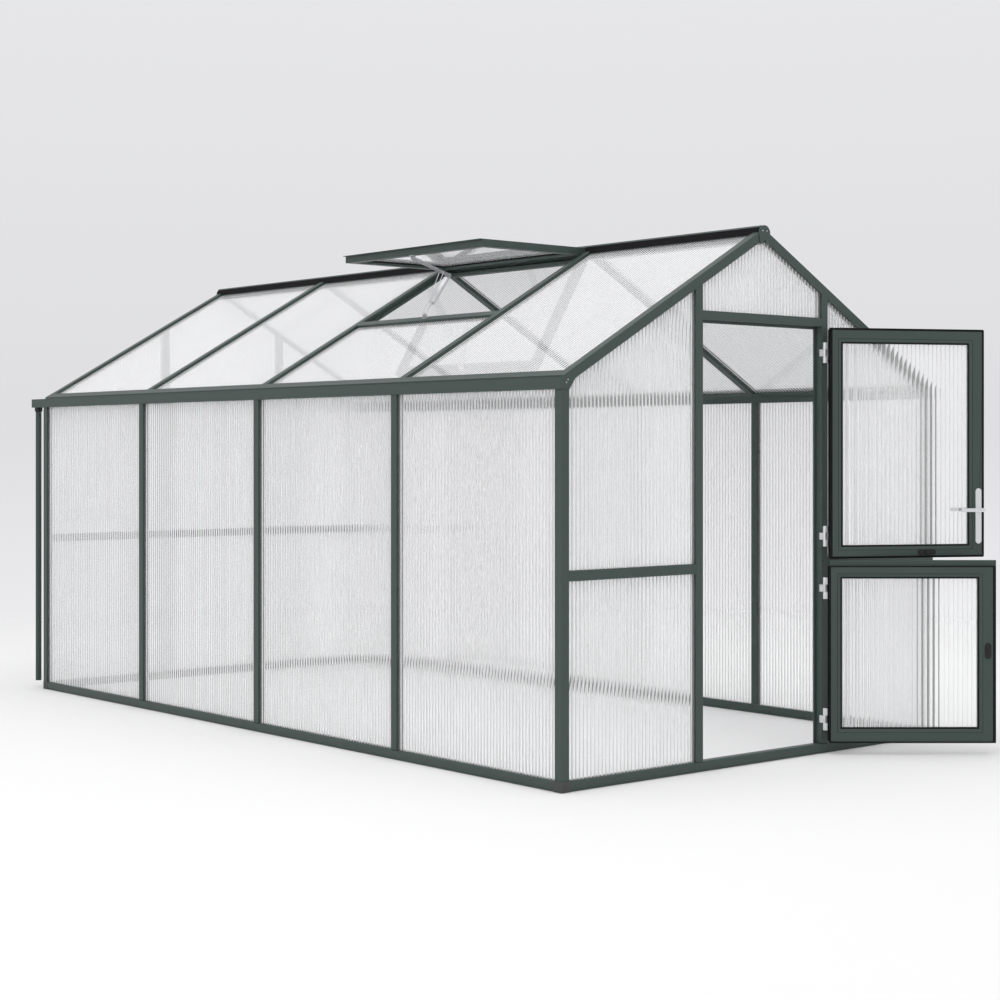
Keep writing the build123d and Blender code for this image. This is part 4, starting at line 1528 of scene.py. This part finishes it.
@dataclass(frozen=True)
class LeverSet:
    """The lever handle through the upper leaf, one lever a face, drawn with the leaf closed.

    Faces gives Y of each plate's face and the way that it looks. A cone is a length with the
    radius at its start and at its end.
    """

    finish: bpy.types.Material
    swing: Matrix
    x: float = -327.0
    z: float = 1057.0
    length: float = 95.0
    stand: float = 45.0
    thick: float = 11.0
    height: float = 17.0
    faces: tuple[tuple[float, int], ...] = ((13.0, 1), (-25.0, -1))
    spindle: float = 5.0
    spindle_short: float = 4.0
    rose: Point = (2.6, 12.5, 11.0)
    rose_sides: int = 40
    rose_round: float = 0.6
    neck: Point = (2.8, 9.0, 7.5)
    neck_sides: int = 32
    small_round: float = 0.8
    heel: float = 8.0
    grip_round: float = 4.4
    tip_long: float = 11.0
    tip_gap: float = 0.5
    tip_y: Span = (9.0, 5.0)
    tip_slim: float = 1.0
    tip_round: float = 3.6
    tail_x: Span = (6.0, 17.0)
    tail: Span = (5.2, 1.8)

    def build(self) -> None:
        """Makes the levers with their spindle, and the roses they turn in."""
        bench = Bench()
        short = self.stand - self.spindle_short
        inner, outer = (base + way * short for base, way in self.faces)
        bench.rod((self.x, outer, self.z), (self.x, inner, self.z), self.spindle)
        for base, way in self.faces:
            self.lever(bench, base, way)
        levers = Piece("lever_pair", Body.LEVER, Slot.BRIGHT, self.finish, ("lever_handle",))
        levers.make(bench, self.swing)
        roses = Bench()
        rise, wide, slim = self.rose
        for base, way in self.faces:
            ends = (self.x, base, self.z), (self.x, base + way * rise, self.z)
            verts = roses.rod(*ends, wide, slim, self.rose_sides)
            roses.soften(verts, self.rose_round)
        Piece("lever_roses", Body.UPPER, Slot.BRIGHT, self.finish).make(roses, self.swing)

    def lever(self, bench: Bench, base: float, way: int) -> None:
        """One lever: its neck, a rounded grip, the return at its end and its pointed tail.

        Args:
            bench: The bench that it goes on.
            base: Y of the plate's face that it stands on.
            way: 1 on the inner face, -1 on the outer one.
        """
        far = base + way * self.stand
        near = far - way * self.thick
        start, wide, slim = self.neck
        ends = (self.x, base + way * start, self.z), (self.x, near, self.z)
        bench.soften(bench.rod(*ends, wide, slim, self.neck_sides), self.small_round)
        half = self.height / 2
        end = self.x + self.length
        low, high = sorted((near, far))
        back = self.x - self.heel
        grip = bench.box((back, low, self.z - half), (end, high, self.z + half))
        bench.soften(grip, self.grip_round, 4)
        low, high = sorted((near - way * self.tip_y[0], near + way * self.tip_y[1]))
        half -= self.tip_slim
        corner = (end - self.tip_long, low, self.z - half)
        tip = bench.box(corner, (end - self.tip_gap, high, self.z + half))
        bench.soften(tip, self.tip_round, 3)
        middle = (near + far) / 2
        ends = [(self.x - reach, middle, self.z) for reach in self.tail_x]
        bench.soften(bench.rod(*ends, *self.tail), self.small_round)


@dataclass(frozen=True)
class Studio:
    """The plain pale floor, the soft light and the camera, in metres.

    Backdrop gives stops of how high a view direction points and the grey that is seen there.
    A lamp is its name, place, side and watts.
    """

    stand: Point = (-6.137, -5.549, 1.3233)
    yaw: float = 40.21
    lens: float = 69.66
    shift: float = -0.05063
    middle: Point = (0.0, 2.1, 0.0)
    daylight: float = 0.85
    backdrop: tuple[Span, ...] = ((-0.18, 1.0), (-0.08, 0.83), (0.01, 0.735), (0.22, 0.795))
    backdrop_blue: float = 1.02
    bounces: int = 10
    diffuse_bounces: int = 3
    glossy_bounces: int = 2
    film: float = 36.0
    clip_end: float = 200.0
    floor_radius: float = 30.0
    floor_sides: int = 96
    floor_drop: float = 0.001
    floor_colour: Colour = (0.86, 0.86, 0.86)
    floor_rough: float = 0.9
    floor_fade: Span = (3.5, 8.0)
    lamp_set: tuple[tuple[str, Point, float, float], ...] = (
        ("overhead", (-1.0, 1.0, 8.0), 9.0, 270.0), ("left_fill", (-9.0, -5.0, 5.0), 6.0, 120.0),
    )

    def build(self) -> None:
        """Makes the whole studio."""
        self.camera()
        self.floor()
        self.world()
        self.lamps()

    def camera(self) -> None:
        """A level camera at the photograph's place, and enough bounces for sheet behind sheet."""
        scene = bpy.context.scene
        scene.view_settings.view_transform = "Standard"
        scene.cycles.max_bounces = self.bounces
        scene.cycles.transmission_bounces = self.bounces
        scene.cycles.diffuse_bounces = self.diffuse_bounces
        scene.cycles.glossy_bounces = self.glossy_bounces
        data = bpy.data.cameras.new("camera")
        data.lens = self.lens
        data.sensor_width = self.film
        data.sensor_fit = "HORIZONTAL"
        data.shift_y = self.shift
        data.clip_end = self.clip_end
        eye = bpy.data.objects.new("camera", data)
        eye.location = self.stand
        eye.rotation_euler = (math.pi / 2, 0.0, -math.radians(self.yaw))
        scene.collection.objects.link(eye)
        scene.camera = eye

    def floor(self) -> None:
        """A white floor that fades out far from the house."""
        bench = bmesh.new()
        bmesh.ops.create_circle(
            bench, cap_ends=True, segments=self.floor_sides, radius=self.floor_radius
        )
        place = (self.middle[0], self.middle[1], -self.floor_drop)
        bmesh.ops.translate(bench, verts=list(bench.verts), vec=place)
        data = bpy.data.meshes.new("floor")
        bench.to_mesh(data)
        bench.free()
        ground = bpy.data.objects.new("floor", data)
        bpy.context.scene.collection.objects.link(ground)
        data.materials.append(self.floor_finish())

    def floor_finish(self) -> bpy.types.Material:
        """White that lets the background through with distance.

        Returns:
            The floor's material.
        """
        material, wiring, shader = empty_material("pale_floor")
        shader.inputs["Base Color"].default_value = (*self.floor_colour, 1.0)
        shader.inputs["Roughness"].default_value = self.floor_rough
        shader.inputs["Specular IOR Level"].default_value = 0.0
        place = wiring.add("TexCoord").outputs["Object"]
        shifted = wiring.add("VectorMath", Vector=place)
        shifted.operation = "SUBTRACT"
        shifted.inputs[1].default_value = self.middle
        length = wiring.add("VectorMath")
        length.operation = "LENGTH"
        wiring.tree.links.new(shifted.outputs[0], length.inputs[0])
        fade = wiring.add("MapRange", Value=length.outputs["Value"])
        fade.interpolation_type = "SMOOTHSTEP"
        fade.inputs["From Min"].default_value = self.floor_fade[0]
        fade.inputs["From Max"].default_value = self.floor_fade[1]
        clear = wiring.add("BsdfTransparent")
        blend = wiring.add("MixShader", Fac=fade.outputs["Result"])
        wiring.tree.links.new(shader.outputs[0], blend.inputs[1])
        wiring.tree.links.new(clear.outputs[0], blend.inputs[2])
        output = next(node for node in wiring.tree.nodes if node.type == "OUTPUT_MATERIAL")
        wiring.tree.links.new(blend.outputs[0], output.inputs["Surface"])
        return material

    def world(self) -> None:
        """Even light from all round, and a background that is white low down and grey above."""
        world = bpy.data.worlds.new("studio")
        bpy.context.scene.world = world
        world.use_nodes = True
        tree = world.node_tree
        tree.nodes.clear()
        wiring = Wiring(tree)
        way = wiring.add("TexCoord").outputs["Generated"]
        height = wiring.add("SeparateXYZ", Vector=way).outputs["Z"]
        lowest, highest = self.backdrop[0][0], self.backdrop[-1][0]
        rise = wiring.add("MapRange", Value=height)
        rise.inputs["From Min"].default_value = lowest
        rise.inputs["From Max"].default_value = highest
        ramp = wiring.add("ValToRGB", Fac=rise.outputs["Result"])
        stops = ramp.color_ramp.elements
        while len(stops) < len(self.backdrop):
            stops.new(0.5)
        for stop, (high, grey) in zip(stops, self.backdrop):
            stop.position = (high - lowest) / (highest - lowest)
            stop.color = (grey, grey, min(1.0, grey * self.backdrop_blue), 1.0)
        seen = wiring.add("Background", Color=ramp.outputs["Color"], Strength=1.0)
        light = wiring.add("Background", Color=(1.0, 1.0, 1.0, 1.0), Strength=self.daylight)
        path = wiring.add("LightPath")
        camera = path.outputs["Is Camera Ray"]
        gloss = wiring.sum("MAXIMUM", camera, path.outputs["Is Glossy Ray"])
        through = wiring.sum("MAXIMUM", gloss, path.outputs["Is Transmission Ray"])
        blend = wiring.add("MixShader", Fac=through)
        tree.links.new(light.outputs[0], blend.inputs[1])
        tree.links.new(seen.outputs[0], blend.inputs[2])
        output = wiring.add("OutputWorld")
        tree.links.new(blend.outputs[0], output.inputs["Surface"])

    def lamps(self) -> None:
        """A large soft lamp overhead and a weaker one from the left."""
        for name, place, size, power in self.lamp_set:
            self.lamp(name, place, size, power)

    def lamp(self, name: str, place: Point, size: float, power: float) -> None:
        """One square area lamp aimed at the house.

        Args:
            name: The lamp's name.
            place: Where it hangs, in metres.
            size: The length of its side.
            power: Its power in watts.
        """
        data = bpy.data.lights.new(name, "AREA")
        data.size = size
        data.energy = power
        lamp = bpy.data.objects.new(name, data)
        lamp.location = place
        aim = Vector(self.middle) + Vector((0.0, 0.0, 1.0)) - Vector(place)
        lamp.rotation_euler = aim.to_track_quat("-Z", "Y").to_euler()
        bpy.context.scene.collection.objects.link(lamp)


def main() -> None:
    """Builds the pieces in order, then the studio."""
    logging.basicConfig(level=logging.INFO, format="%(name)s %(message)s")
    finishes = Finishes.build()
    Glazing(finishes.sheet, finishes.rib, finishes.rubber).build()
    lower = Leaf(
        name="lower_leaf",
        body=Body.LOWER,
        opened=139.8,
        height=(47.0, 842.5),
        frame_z=(55.0, 816.5),
        pane=(112.0, 770.0),
        hinges=LOWER_HINGES,
    )
    upper = Leaf(
        name="upper_leaf",
        body=Body.UPPER,
        opened=152.3,
        height=(847.5, 1853.0),
        frame_z=(855.5, 1845.0),
        pane=(900.0, 1790.0),
        hinges=UPPER_HINGES,
    )
    for leaf in (lower, upper):
        leaf.build(finishes)
    LeverSet(finishes.bright, upper.swing).build()
    Opener(finishes.bright, finishes.steel).build()
    RidgeTrim(finishes.rubber).build()
    fasteners = Fasteners(finishes.steel)
    fasteners.build()
    fasteners.jamb_plug(finishes.black)
    FrameDressing(finishes).build()
    Studio().build()


if __name__ == "__main__":
    main()
